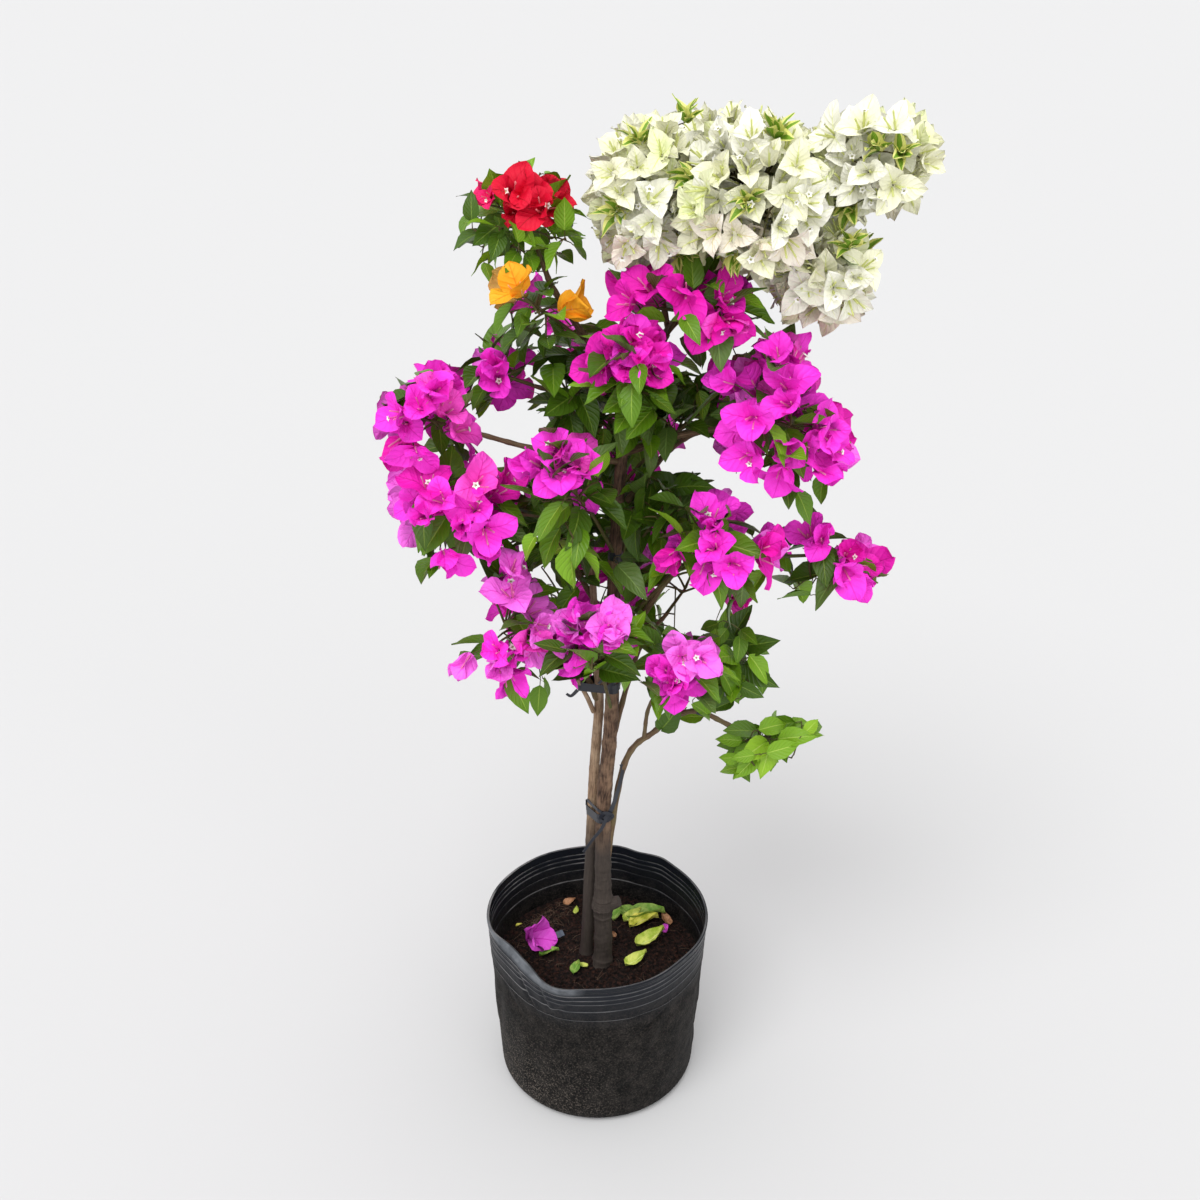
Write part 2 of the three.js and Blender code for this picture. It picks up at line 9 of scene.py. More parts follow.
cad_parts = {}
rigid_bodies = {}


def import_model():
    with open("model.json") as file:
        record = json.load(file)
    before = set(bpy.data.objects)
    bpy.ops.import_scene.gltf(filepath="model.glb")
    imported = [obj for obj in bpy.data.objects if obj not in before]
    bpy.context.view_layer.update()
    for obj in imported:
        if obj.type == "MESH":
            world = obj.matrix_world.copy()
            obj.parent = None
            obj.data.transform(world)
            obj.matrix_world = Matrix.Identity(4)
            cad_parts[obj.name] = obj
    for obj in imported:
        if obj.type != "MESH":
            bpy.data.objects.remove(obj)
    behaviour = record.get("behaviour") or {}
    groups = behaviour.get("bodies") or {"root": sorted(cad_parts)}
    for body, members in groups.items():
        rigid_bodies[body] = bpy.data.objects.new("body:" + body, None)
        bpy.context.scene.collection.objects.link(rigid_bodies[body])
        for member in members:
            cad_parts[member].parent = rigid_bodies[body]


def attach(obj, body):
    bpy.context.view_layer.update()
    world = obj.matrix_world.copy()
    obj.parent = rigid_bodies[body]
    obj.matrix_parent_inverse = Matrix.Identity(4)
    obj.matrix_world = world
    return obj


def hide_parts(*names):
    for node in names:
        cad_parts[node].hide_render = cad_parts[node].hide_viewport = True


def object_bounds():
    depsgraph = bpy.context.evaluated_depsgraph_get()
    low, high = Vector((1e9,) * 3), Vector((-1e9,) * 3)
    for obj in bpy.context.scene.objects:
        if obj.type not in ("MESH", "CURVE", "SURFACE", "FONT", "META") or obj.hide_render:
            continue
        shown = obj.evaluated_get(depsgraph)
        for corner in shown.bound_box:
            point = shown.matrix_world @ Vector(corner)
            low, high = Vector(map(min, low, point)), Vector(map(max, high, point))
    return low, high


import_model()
cad_low, cad_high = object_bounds()

# ---------------------------------------------------------------------------------------------------------
# The bag is a nursery bag of black polythene film, blown as a tube and welded flat under its foot. Fine
# ribs are pressed round its top, and its lip is folded over. It is slack and creased, and dusty outside.
# Shapes are worked out in millimetres and made in metres.
MM = 0.001
bag = {
    "rim": 150, "waist": 144, "waist_height": 150, "foot": 136.5, "rounding": 16, "height": 254,
    "film": 1.4, "lip": 7, "sides": 264,
}
# Dents and bulges of the rim: degrees round, their spread in radians, and how far they push outward.
rim_dents = (
    (215, 0.33, -10), (250, 0.2, 8), (318, 0.3, -5), (52, 0.1, 2.4), (66, 0.1, -2.6), (79, 0.1, 1.8),
)
# The edge of the film is bent inwards on one side, where it has been pressed down.
bent_edge = {"degrees": 219, "width": 0.36, "push": -7.5, "above": 242}
rib_heights = (196, 212.5, 225.5, 233, 240.5)
rib_rise, rib_half_width = 0.75, 1.3
# Creases of the slack film: degrees round, height, tilt in degrees, half length, half width, depth.
creases = (
    (299, 172, 34, 25, 3.2, 2.6), (306, 150, 62, 30, 6, 1.4), (262, 128, -70, 46, 9, 1.6),
    (233, 96, 80, 50, 10, 1.8), (285, 66, 20, 34, 7, 1.2), (200, 120, 76, 52, 10, 2.0),
    (150, 110, 84, 60, 11, 1.8), (96, 130, -76, 54, 10, 1.8), (40, 100, 78, 56, 11, 2.0),
    (345, 118, -80, 50, 9, 1.6), (230, 212, -52, 26, 4, 2.6), (243, 222, -68, 20, 3.5, 2.2),
    (252, 214, 48, 22, 4, 1.6), (262, 96, 88, 74, 1.6, 0.7), (268, 150, 24, 22, 3, 1.2),
    (222, 176, -30, 30, 5, 1.6), (290, 192, 12, 24, 4, 1.2),
)


def eased(share):
    share = min(max(share, 0.0), 1.0)
    return share * share * (3 - 2 * share)


def turned_by(angle, degrees):
    """The angle from a direction given in degrees, between minus pi and pi."""
    return (angle - math.radians(degrees) + math.pi) % (2 * math.pi) - math.pi


def film_push(angle, z):
    """How far the slack film stands out of its round shape, in millimetres."""
    turned = turned_by(angle, bent_edge["degrees"]) / bent_edge["width"]
    push = bent_edge["push"] * eased((z - bent_edge["above"]) / 12) * math.exp(-(turned**4))
    fade = eased((z - bag["waist_height"]) / (bag["height"] - bag["waist_height"]))
    dents = (dent * math.exp(-((turned_by(angle, at) / width) ** 2)) for at, width, dent in rim_dents)
    push += fade * sum(dents)
    slack = eased((z - 4) / 40) * (1 - 0.75 * eased((z - 170) / 50))
    place = Vector((math.cos(angle), math.sin(angle), z / 90))
    push += slack * (1.7 * noise.noise(place * 1.9) + 0.8 * noise.noise(place * 5.3))
    for at, height, tilt, length, width, depth in creases:
        round_way, lean = turned_by(angle, at) * bag["waist"], math.radians(tilt)
        along = round_way * math.cos(lean) + (z - height) * math.sin(lean)
        across = (z - height) * math.cos(lean) - round_way * math.sin(lean)
        if abs(along) < 2.5 * length and abs(across) < 4 * width:
            fold = math.exp(-((across / width) ** 2)) - 0.6 * math.exp(-((across / width - 1.5) ** 2))
            push -= depth * fold * math.exp(-((along / length) ** 2))
    return push


def wall_radius(z):
    if z < bag["waist_height"]:
        share = (z - bag["rounding"]) / (bag["waist_height"] - bag["rounding"])
        return bag["foot"] + (bag["waist"] - bag["foot"]) * share
    share = (z - bag["waist_height"]) / (bag["height"] - bag["waist_height"])
    return bag["waist"] + (bag["rim"] - bag["waist"]) * share


def rib_at(z):
    return rib_rise * sum(max(0.0, 1 - ((z - rib) / rib_half_width) ** 2) for rib in rib_heights)


def ribbed(z, inset=0.0):
    """A row of the film's section, with whether it lies on the crest of a rib."""
    return wall_radius(z) - inset + rib_at(z), z, 1 if rib_at(z) > 0.3 * rib_rise else 0


def round_place(angle, radius, z):
    return radius * math.cos(angle), radius * math.sin(angle), z


def mesh_object(name, points, faces, materials, slots=None, uv=None):
    """An object from points in millimetres; slots gives each face's material, uv each point's place."""
    mesh = bpy.data.meshes.new(name)
    mesh.from_pydata([tuple(c * MM for c in point) for point in points], [], faces)
    for material in materials:
        mesh.materials.append(material)
    if slots is not None:
        mesh.polygons.foreach_set("material_index", slots)
    if uv is not None:
        layer = mesh.uv_layers.new(name="blade")
        corners = np.zeros(len(mesh.loops), int)
        mesh.loops.foreach_get("vertex_index", corners)
        layer.uv.foreach_set("vector", np.asarray(uv, np.float32)[corners].ravel())
    mesh.polygons.foreach_set("use_smooth", [True] * len(mesh.polygons))
    mesh.update()
    return bpy.data.objects.new(name, mesh)


def shown(piece):
    bpy.context.scene.collection.objects.link(piece)
    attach(piece, "root")
    return piece


def lathe_faces(rows, sides):
    """Quads between rings of points; the first and the last ring are single points on the axis."""
    faces = [(0, 1 + (k + 1) % sides, 1 + k) for k in range(sides)]
    for row in range(rows - 3):
        low, high = 1 + row * sides, 1 + (row + 1) * sides
        faces += [(low + k, low + (k + 1) % sides, high + (k + 1) % sides, high + k) for k in range(sides)]
    last = 1 + (rows - 2) * sides
    faces += [(last - sides + k, last - sides + (k + 1) % sides, last) for k in range(sides)]
    return faces


def bag_rows():
    """The film's section from the middle of the foot, up outside, over the lip and down inside."""
    foot, rounding, film, top = bag["foot"], bag["rounding"], bag["film"], bag["height"]
    rows = [(r, 0.0, 0) for r in (0, 40, 80, 105, foot - rounding)]
    for turn in (math.pi / 2 * k / 7 for k in range(1, 7)):
        rows.append((foot - rounding * (1 - math.sin(turn)), rounding * (1 - math.cos(turn)), 0))
    lip = top - bag["lip"]
    rows += [ribbed(z) for z in (*np.arange(rounding, 186, 4.0), *np.arange(187, lip - 0.5, 0.85))]
    rows += [(wall_radius(z) + 1.3, z, 0) for z in (lip, lip + 1.6, lip + 3.2)]
    rows += [(wall_radius(z) + 1.6, z, 0) for z in (lip + 4.4, top - 1.0)]
    rows += [(bag["rim"] + 0.4, top, 1), (bag["rim"] - film - 0.6, top - 0.4, 1)]
    heights = (*np.arange(top - 2, 160, -0.95), *np.arange(158, rounding + film, -14.0))
    rows += [ribbed(z, film) for z in heights]
    return rows + [(foot - rounding, film, 0), (60, film, 0), (0, film, 0)]


def bag_mesh(materials):
    rows, sides = bag_rows(), bag["sides"]
    points = [(0, 0, rows[0][1])]
    for radius, z, _ in rows[1:-1]:
        for angle in (2 * math.pi * k / sides for k in range(sides)):
            out = radius + (film_push(angle, z) if z > 3 else 0.0)
            way = Vector(round_place(angle, 1, 3))
            lift = eased((z - 150) / 104) * 1.6 * (noise.noise(way * 2) - 0.6)
            points.append(round_place(angle, out, z + lift))
    points.append((0, 0, rows[-1][1]))
    slots = [0] * sides
    for row, above in zip(rows[1:-2], rows[2:-1]):
        slots += [row[2] and above[2]] * sides
    return mesh_object("grow_bag", points, lathe_faces(len(rows), sides), materials, slots + [0] * sides)


def wire(tree, socket, value):
    """Gives a socket a link, a colour of three numbers or a plain value."""
    if isinstance(value, bpy.types.NodeSocket):
        tree.links.new(value, socket)
    elif isinstance(value, tuple) and socket.type == "RGBA":
        socket.default_value = (*value, 1)
    else:
        socket.default_value = value


def step(tree, kind, settings=None, **wired):
    """Adds a node and gives each named input a value or a link; spaces in names are written as _."""
    node = tree.nodes.new(kind)
    for key, value in (settings or {}).items():
        setattr(node, key, value)
    for label, value in wired.items():
        wire(tree, node.inputs[label.replace("_", " ")], value)
    return node


def new_finish(name, colour, roughness, specular=0.5):
    """A material with one plain colour; returns it with its tree and its surface shader."""
    material = bpy.data.materials.new(name)
    material.use_nodes = True
    surface = material.node_tree.nodes["Principled BSDF"]
    surface.inputs["Base Color"].default_value = (*colour, 1)
    surface.inputs["Roughness"].default_value = roughness
    surface.inputs["Specular IOR Level"].default_value = specular
    material.diffuse_color = (*colour, 1)
    return material, material.node_tree, surface


def ramp(tree, share, stops):
    """Colours or greys dealt out over a share by a ramp of (place, value) stops."""
    node = step(tree, "ShaderNodeValToRGB", Fac=share)
    while len(node.color_ramp.elements) < len(stops):
        node.color_ramp.elements.new(0.5)
    for element, (place, value) in zip(node.color_ramp.elements, stops):
        element.position = place
        element.color = (*value, 1) if isinstance(value, tuple) else (value, value, value, 1)
    return node.outputs["Color"]


def blend(tree, share, first, second):
    node = step(tree, "ShaderNodeMix", {"data_type": "RGBA"})
    for number, value in ((0, share), (6, first), (7, second)):
        wire(tree, node.inputs[number], value)
    return node.outputs[2]


def maths(tree, operation, first, *others):
    """A maths node, or one for each further value."""
    for other in others or (0.0,):
        node = step(tree, "ShaderNodeMath", {"operation": operation})
        wire(tree, node.inputs[0], first)
        wire(tree, node.inputs[1], other)
        first = node.outputs["Value"]
    return first


def vectors(tree, operation, *values, out="Vector"):
    node = step(tree, "ShaderNodeVectorMath", {"operation": operation})
    for socket, value in zip(node.inputs, values):
        wire(tree, socket, value)
    return node.outputs[out]


def band(tree, value, first, last, low=0.0, high=1.0):
    """A share that goes from low to high while the value goes from first to last."""
    wired = {"Value": value, "From_Min": first, "From_Max": last, "To_Min": low, "To_Max": high}
    return step(tree, "ShaderNodeMapRange", None, **wired).outputs["Result"]


def object_place(tree):
    return step(tree, "ShaderNodeTexCoord").outputs["Object"]


def grain(tree, vector, scale, detail=3.0, roughness=0.55):
    wired = {"Vector": vector, "Scale": scale, "Detail": detail, "Roughness": roughness}
    return step(tree, "ShaderNodeTexNoise", None, **wired).outputs["Fac"]


def coat(tree, surface, colour=None, relief=None, strength=0.5, depth=0.001):
    """Wires a colour and a relief, with its depth in metres, into a surface."""
    if colour is not None:
        wire(tree, surface.inputs["Base Color"], colour)
    if relief is not None:
        bump = step(tree, "ShaderNodeBump", None, Height=relief, Strength=strength, Distance=depth)
        wire(tree, surface.inputs["Normal"], bump.outputs["Normal"])


def film_finish():
    """Black film, blue-black and clean at the top, with brown dust and splashes of mud lower down, and a
    painted sky reflection on its bent edge.
    """
    material, tree, surface = new_finish("dusty_black_film_with_sky_sheen", (0.014, 0.015, 0.018), 0.5, 0.14)
    place = object_place(tree)
    axes = step(tree, "ShaderNodeSeparateXYZ", Vector=place).outputs
    low, left = band(tree, axes["Z"], 0.235, 0.175), band(tree, axes["X"], 0.04, -0.13)
    foot = band(tree, axes["Z"], 0.15, 0.01)
    film = blend(tree, grain(tree, place, 9), (0.005, 0.006, 0.009), (0.012, 0.014, 0.019))
    mottled = maths(tree, "ADD", maths(tree, "MULTIPLY", grain(tree, place, 55, 6, 0.7), 0.45),
                    maths(tree, "MULTIPLY", grain(tree, place, 330, 6, 0.75), 0.55))
    dust = ramp(tree, mottled, ((0.45, 0.0), (0.60, 1.0)))
    colour = blend(tree, low, film, blend(tree, dust, (0.0012, 0.0011, 0.001), (0.022, 0.0188, 0.0168)))
    # The bent edge lies open to the sky: it is partly scuffed pale and partly painted with a pale blue-grey
    # reflection of the sky.
    way = round_place(math.radians(220), 1, 0)
    bent = band(tree, vectors(tree, "DOT_PRODUCT", place, way, out="Value"), 0.108, 0.124)
    scuffs_and_sky_sheen = ramp(tree, grain(tree, place, 60, 4), ((0.3, 0.35), (0.6, 1.0)))
    pale = maths(tree, "MULTIPLY", bent, band(tree, axes["Z"], 0.2405, 0.2455), scuffs_and_sky_sheen)
    colour = blend(tree, pale, colour, (0.13, 0.14, 0.155))
    flecks = ramp(tree, grain(tree, place, 420, 3, 0.7), ((0.54, 0.0), (0.62, 1.0)))
    patch = maths(tree, "ADD", maths(tree, "MULTIPLY", left, foot), maths(tree, "MULTIPLY", low, 0.12))
    splash = maths(tree, "MULTIPLY", flecks, patch)
    relief = maths(tree, "ADD", grain(tree, place, 60, 5), maths(tree, "MULTIPLY", splash, 0.5))
    coat(tree, surface, blend(tree, splash, colour, (0.19, 0.16, 0.135)), relief, 0.7, 0.0018)
    wire(tree, surface.inputs["Roughness"], band(tree, low, 0.0, 1.0, 0.27, 0.72))
    return material


def rib_dust_and_highlight_finish():
    """The crest of a rib and the edge of the lip, scuffed pale and holding dust, and painted paler still as
    a highlight.
    """
    material, tree, surface = new_finish("scuffed_rib_film_and_highlight", (0.06, 0.058, 0.06), 0.55)
    place = object_place(tree)
    worn_and_highlit = ramp(tree, grain(tree, place, 26, 4), ((0.38, 0.0), (0.62, 1.0)))
    # The lip's left rear is paler still: a painted highlight along its edge.
    rear = band(tree, vectors(tree, "DOT_PRODUCT", place, (-0.8, 0.6, 0), out="Value"), -0.04, 0.12, 0.45)
    worn_and_highlit = maths(tree, "MULTIPLY", worn_and_highlit, rear)
    coat(tree, surface, blend(tree, worn_and_highlit, (0.020, 0.022, 0.027), (0.17, 0.165, 0.165)))
    return material


grow_bag = shown(bag_mesh((film_finish(), rib_dust_and_highlight_finish())))
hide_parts("bag")

# ---------------------------------------------------------------------------------------------------------
# The bag is filled with a moist potting mix of dark peat and coir. It is loose and crumbly on top, with
# small clods and stray fibres, and it rises a little round the stems.
soil_level = 175
mix = {"edge_drop": 7, "mound": 5, "rings": 84, "sides": 240, "clods": 3600, "fibres": 300}


def mix_height(x, y):
    """The height of the mix's surface, in millimetres."""
    away = math.hypot(x, y)
    level = soil_level - mix["edge_drop"] * eased((away - 60) / 80)
    level += mix["mound"] * math.exp(-((away / 46) ** 2))
    place = Vector((x / 40, y / 40, 0.7))
    level += 3.2 * noise.noise(place) + 2.2 * noise.noise(place * 3.1) + 1.3 * noise.noise(place * 8.7)
    return level + 0.8 * noise.noise(place * 19)


def mix_mesh(material):
    """The mix as one closed body: bumpy on top, and following the film round its side."""
    sides, rings = mix["sides"], mix["rings"]
    angles = [2 * math.pi * k / sides for k in range(sides)]
    rows = ((bag["foot"] - bag["rounding"] - 2, 5), (bag["foot"] - 3, 18), (bag["waist"] - 3, 150))
    points = [(0, 0, rows[0][1])]
    for radius, z in rows:
        points += [round_place(angle, radius + film_push(angle, z), z) for angle in angles]
    level = soil_level - mix["edge_drop"]
    for share in (1 - ring / rings for ring in range(rings)):
        for angle in angles:
            edge = wall_radius(level) - bag["film"] + film_push(angle, level) - 0.2
            x, y, _ = round_place(angle, share * edge, 0)
            points.append((x, y, mix_height(x, y)))
    points.append((0, 0, mix_height(0, 0)))
    return mesh_object("potting_mix", points, lathe_faces(len(rows) + rings + 2, sides), (material,))


def mix_finish(name, dark, pale):
    material, tree, surface = new_finish(name, dark, 0.95, 0.25)
    place = object_place(tree)
    share = ramp(tree, grain(tree, place, 210, 6, 0.7), ((0.45, 0.0), (0.61, 1.0)))
    coat(tree, surface, blend(tree, share, dark, pale), grain(tree, place, 320, 5, 0.7), 1.0, 0.003)
    return material


def grown(tree_name, inputs, build):
    """A Geometry Nodes tree with the named inputs; build wires it and returns the geometry that leaves."""
    tree = bpy.data.node_groups.new(tree_name, "GeometryNodeTree")
    tree.interface.new_socket("Geometry", in_out="INPUT", socket_type="NodeSocketGeometry")
    for label, kind in inputs.items():
        tree.interface.new_socket(label, in_out="INPUT", socket_type="NodeSocket" + kind)
    tree.interface.new_socket("Geometry", in_out="OUTPUT", socket_type="NodeSocketGeometry")
    entry = tree.nodes.new("NodeGroupInput").outputs
    tree.links.new(build(tree, entry), tree.nodes.new("NodeGroupOutput").inputs["Geometry"])
    return tree


def run_tree(holder, tree, name, **values):
    """Sets the tree's inputs on the holder by their identifiers and returns the result as a plain mesh."""
    bpy.context.scene.collection.objects.link(holder)
    modifier = holder.modifiers.new("growth", "NODES")
    modifier.node_group = tree
    for item in tree.interface.items_tree:
        if item.in_out == "INPUT" and item.name in values:
            modifier[item.identifier] = values[item.name]
    evaluated = holder.evaluated_get(bpy.context.evaluated_depsgraph_get())
    mesh = bpy.data.meshes.new_from_object(evaluated)
    mesh.name = name
    holder.modifiers.remove(modifier)
    bpy.data.objects.remove(holder)
    return bpy.data.objects.new(name, mesh)


def attribute(tree, name, kind="FLOAT"):
    node = step(tree, "GeometryNodeInputNamedAttribute", {"data_type": kind}, Name=name)
    return node.outputs["Attribute"]


def copies_at_points(tree, entry):
    """A copy of one of the forms at each point, turned, sized and picked by the point's attributes. The
    forms bring their own materials with them."""
    forms = step(tree, "GeometryNodeCollectionInfo", None, Collection=entry["Forms"],
                 Separate_Children=True, Reset_Children=True)
    copies = step(tree, "GeometryNodeInstanceOnPoints", None, Points=entry["Geometry"],
                  Instance=forms.outputs["Instances"], Pick_Instance=True,
                  Instance_Index=attribute(tree, "form", "INT"), Scale=attribute(tree, "size"),
                  Rotation=attribute(tree, "turn", "QUATERNION"))
    whole = step(tree, "GeometryNodeRealizeInstances", None, Geometry=copies.outputs["Instances"])
    return whole.outputs["Geometry"]


copies_tree = grown("copies_at_points", {"Forms": "Collection"}, copies_at_points)


class Scatter:
    """Copies of a few forms, each with a place in millimetres, a turn, a size and its form's number."""

    def __init__(self, name, forms):
        self.name, self.forms, self.rows = name, forms, []

    def put(self, place, turn, size, form):
        self.rows.append((place, turn, size, form))

    def joined(self):
        """Joins the copies into one mesh object."""
        places, turns, sizes, picks = zip(*self.rows)
        mesh = bpy.data.meshes.new(self.name + "_places")
        mesh.from_pydata([tuple(c * MM for c in place) for place in places], [], [])
        columns = (("form", "INT", picks), ("size", "FLOAT", sizes), ("turn", "QUATERNION", turns))
        for label, kind, values in columns:
            values = np.array(values, np.int32 if kind == "INT" else np.float32).ravel()
            mesh.attributes.new(label, kind, "POINT").data.foreach_set("value", values)
        collection = bpy.data.collections.new(self.name + "_forms")
        for form in self.forms:
            collection.objects.link(form)
        holder = bpy.data.objects.new(self.name + "_places", mesh)
        result = run_tree(holder, copies_tree, self.name, Forms=collection)
        for label, _, _ in columns:
            stale = result.data.attributes.get(label)
            if stale:
                result.data.attributes.remove(stale)
        for form in self.forms:
            bpy.data.objects.remove(form)
        bpy.data.collections.remove(collection)
        return result


def seeded(seed):
    """Repeatable random numbers from 0 to 1, as the solids' source draws them."""
    state = seed

    def draw():
        nonlocal state
        state = (1664525 * state + 1013904223) % 4294967296
        return state / 4294967296

    return draw


def clod(number, material):
    """A lump of mix: a ball of twenty faces pushed out of round."""
    draw = seeded(40 + number)
    ball = bmesh.new()
    bmesh.ops.create_icosphere(ball, subdivisions=1, radius=1)
    points = [vertex.co * (0.75 + 0.5 * draw()) for vertex in ball.verts]
    faces = [[vertex.index for vertex in face.verts] for face in ball.faces]
    ball.free()
    squash = Vector((1, 0.7 + 0.3 * draw(), 0.55 + 0.3 * draw()))
    return mesh_object(f"clod_{number}", [point * squash for point in points], faces, (material,))


def on_mix(draw, least, most):
    """A place on the mix between two distances from its middle."""
    angle, away = 2 * math.pi * draw(), math.sqrt(least**2 + (most**2 - least**2) * draw())
    x, y, _ = round_place(angle, away, 0)
    return Vector((x, y, mix_height(x, y)))


def clods():
    draw = seeded(7)
    crumbled = mix_finish("crumbled_mix", (0.006, 0.0028, 0.002), (0.052, 0.021, 0.0135))
    pale = mix_finish("pale_crumbs", (0.050, 0.026, 0.018), (0.13, 0.072, 0.050))
    lumps = Scatter("clods", [clod(number, pale if number == 5 else crumbled) for number in range(6)])
    for number in range(mix["clods"]):
        size = 0.7 + 3.4 * draw() ** 3
        place = on_mix(draw, 14, 136) + Vector((0, 0, 0.1 * size))
        turn = Matrix.Rotation(2 * math.pi * draw(), 3, (draw() - 0.5, draw() - 0.5, 1)).to_quaternion()
        lumps.put(place, turn, size, number % 6 if number % 3 == 0 else number % 5)
    return lumps.joined()


moist_mix = mix_finish("moist_potting_mix", (0.0035, 0.0018, 0.0013), (0.036, 0.0145, 0.010))
potting_mix = shown(mix_mesh(moist_mix))
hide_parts("soil")
shown(clods())


def polylines(name, lines):
    """A wire of separate lines, each a list of (point in millimetres, radius in millimetres)."""
    points = [point for line in lines for point, _ in line]
    edges, first = [], 0
    for line in lines:
        edges += [(first + k, first + k + 1) for k in range(len(line) - 1)]
        first += len(line)
    mesh = bpy.data.meshes.new(name + "_lines")
    mesh.from_pydata([tuple(c * MM for c in point) for point in points], edges, [])
    radii = np.asarray([radius * MM for line in lines for _, radius in line], np.float32)
    mesh.attributes.new("thick", "FLOAT", "POINT").data.foreach_set("value", radii)
    return bpy.data.objects.new(name + "_lines", mesh)


def stored(tree, geometry, name, kind, value):
    node = step(tree, "GeometryNodeStoreNamedAttribute", {"data_type": kind}, Geometry=geometry, Name=name,
                Value=value)
    return node.outputs["Geometry"]


def tubes_along(tree, entry):
    """A tapering round tube along each line, with "along" and "ring" to lay a pattern round it by, and
    a relief of long furrows and short wrinkles raised on it."""
    curve = step(tree, "GeometryNodeMeshToCurve", None, Mesh=entry["Geometry"]).outputs["Curve"]
    length = step(tree, "GeometryNodeSplineParameter").outputs["Length"]
    circle = step(tree, "GeometryNodeCurvePrimitiveCircle", None, Resolution=entry["Sides"], Radius=1.0)
    here = step(tree, "GeometryNodeInputPosition").outputs["Position"]
    tube = step(tree, "GeometryNodeCurveToMesh", None, Curve=stored(tree, curve, "along", "FLOAT", length),
                Profile_Curve=stored(tree, circle.outputs["Curve"], "ring", "FLOAT_VECTOR", here),
                Scale=attribute(tree, "thick"), Fill_Caps=True).outputs["Mesh"]
    relief = []
    for around, lengthwise, share in ((entry["Furrows"], 26.0, 0.6), (0.9, 260.0, 0.4)):
        ring = step(tree, "ShaderNodeVectorMath", {"operation": "SCALE"}, Scale=around,
                    Vector=attribute(tree, "ring", "FLOAT_VECTOR"))
        rise = maths(tree, "MULTIPLY", attribute(tree, "along"), lengthwise)
        lifted = step(tree, "ShaderNodeCombineXYZ", None, Z=rise).outputs["Vector"]
        where = vectors(tree, "ADD", ring.outputs["Vector"], lifted)
        height = step(tree, "ShaderNodeTexNoise", {"noise_dimensions": "4D"}, Vector=where, W=entry["Seed"],
                      Scale=1.0, Detail=3.0, Roughness=0.6)
        height = maths(tree, "SUBTRACT", height.outputs["Fac"], 0.5)
        relief.append(maths(tree, "MULTIPLY", height, 2 * share))
    lift = maths(tree, "MULTIPLY", attribute(tree, "thick"), entry["Relief"], maths(tree, "ADD", *relief))
    out = step(tree, "ShaderNodeVectorMath", {"operation": "SCALE"}, Scale=lift,
               Vector=step(tree, "GeometryNodeInputNormal").outputs["Normal"])
    rough = step(tree, "GeometryNodeSetPosition", None, Geometry=tube, Offset=out.outputs["Vector"])
    smooth = step(tree, "GeometryNodeSetShadeSmooth", None, Geometry=rough.outputs["Geometry"])
    whole = step(tree, "GeometryNodeRealizeInstances", None, Geometry=smooth.outputs["Geometry"])
    return step(tree, "GeometryNodeSetMaterial", None, Geometry=whole.outputs["Geometry"],
                Material=entry["Finish"]).outputs["Geometry"]


tube_inputs = {"Sides": "Int", "Relief": "Float", "Furrows": "Float", "Seed": "Float", "Finish": "Material"}
tubes_tree = grown("tubes_along_lines", tube_inputs, tubes_along)


def faced_outward(piece):
    shape = bmesh.new()
    shape.from_mesh(piece.data)
    bmesh.ops.recalc_face_normals(shape, faces=shape.faces)
    shape.to_mesh(piece.data)
    shape.free()
    return piece


def tubes(name, lines, sides, finish, relief=0.0, furrows=3.0, seed=1.0):
    holder = polylines(name, lines)
    return faced_outward(run_tree(holder, tubes_tree, name, Sides=sides, Relief=relief, Furrows=furrows,
                                  Seed=seed, Finish=finish))


def fibre_lines():
    """Coir fibres lie loose on the mix, most of them at its left rear."""
    draw = seeded(19)
    lines = []
    for _ in range(mix["fibres"]):
        start = on_mix(draw, 20, 128)
        if draw() < 0.6:
            start = Vector((-84, 96, 0)) + Vector((38 * (draw() - 0.5), 34 * (draw() - 0.5), 0)) * 1.6
        heading, bend = 2 * math.pi * draw(), 2.4 * (draw() - 0.5)
        reach, line = 8 + 20 * draw() ** 2, []
        for k in range(5):
            turn = heading + bend * k / 4
            start = start + Vector((math.cos(turn), math.sin(turn), 0)) * reach / 4
            if math.hypot(start.x, start.y) > 134:
                break
            height = mix_height(start.x, start.y) + 0.6 + 2.6 * math.sin(math.pi * k / 4)
            line.append((Vector((start.x, start.y, height)), 0.34 - 0.05 * k))
        if len(line) > 2:
            lines.append(line)
    return lines


fibre_finish, _, _ = new_finish("coir_fibre", (0.13, 0.085, 0.060), 0.9, 0.2)
shown(tubes("coir_fibres", fibre_lines(), 3, fibre_finish))

# ---------------------------------------------------------------------------------------------------------
# Two stems stand close together in the bag. The main one is old and rough, with a knot and a sawn stub near
# its foot, and the younger one is smoother and paler. The boughs spring from both, one tapering limb each.
stem_start = 163
trunk_line = (
    (5, -15, stem_start, 17), (8, -12, 192, 12.4), (8, -9, 250, 11.5), (8, -8, 273, 15), (8, -7, 298, 11.2),
    (8, -6, 346, 10.6), (9, -6, 444, 9.6), (16, -5, 534, 9), (19, -4, 594, 8.7), (20, -2, 681, 8.6),
    (21, 0, 764, 8), (27, 0, 895, 6.6), (35, 0, 969, 5.8), (40, 0, 1030, 5),
)
stub_line = ((8, -8, 270, 9), (22, -9, 277, 9), (30, -10, 281, 7.5))
second_line = (
    (-17, 4, stem_start, 10.6), (-14, 5, 204, 8.4), (-10, 8, 309, 7.8), (-7, 10, 392, 7.2),
    (-4, 11, 472, 6.8), (0, 12, 534, 6.4), (3, 13, 587, 6), (0, 14, 650, 5),
    (-4, 14, 737, 4.4), (-8, 14, 811, 3.8),
)
fork_line = (((-4, 8, 572), 3.2), ((-11, 3, 594), 3.0), ((-18, -1, 612), 2.8), ((-24, -3, 627), 2.7))
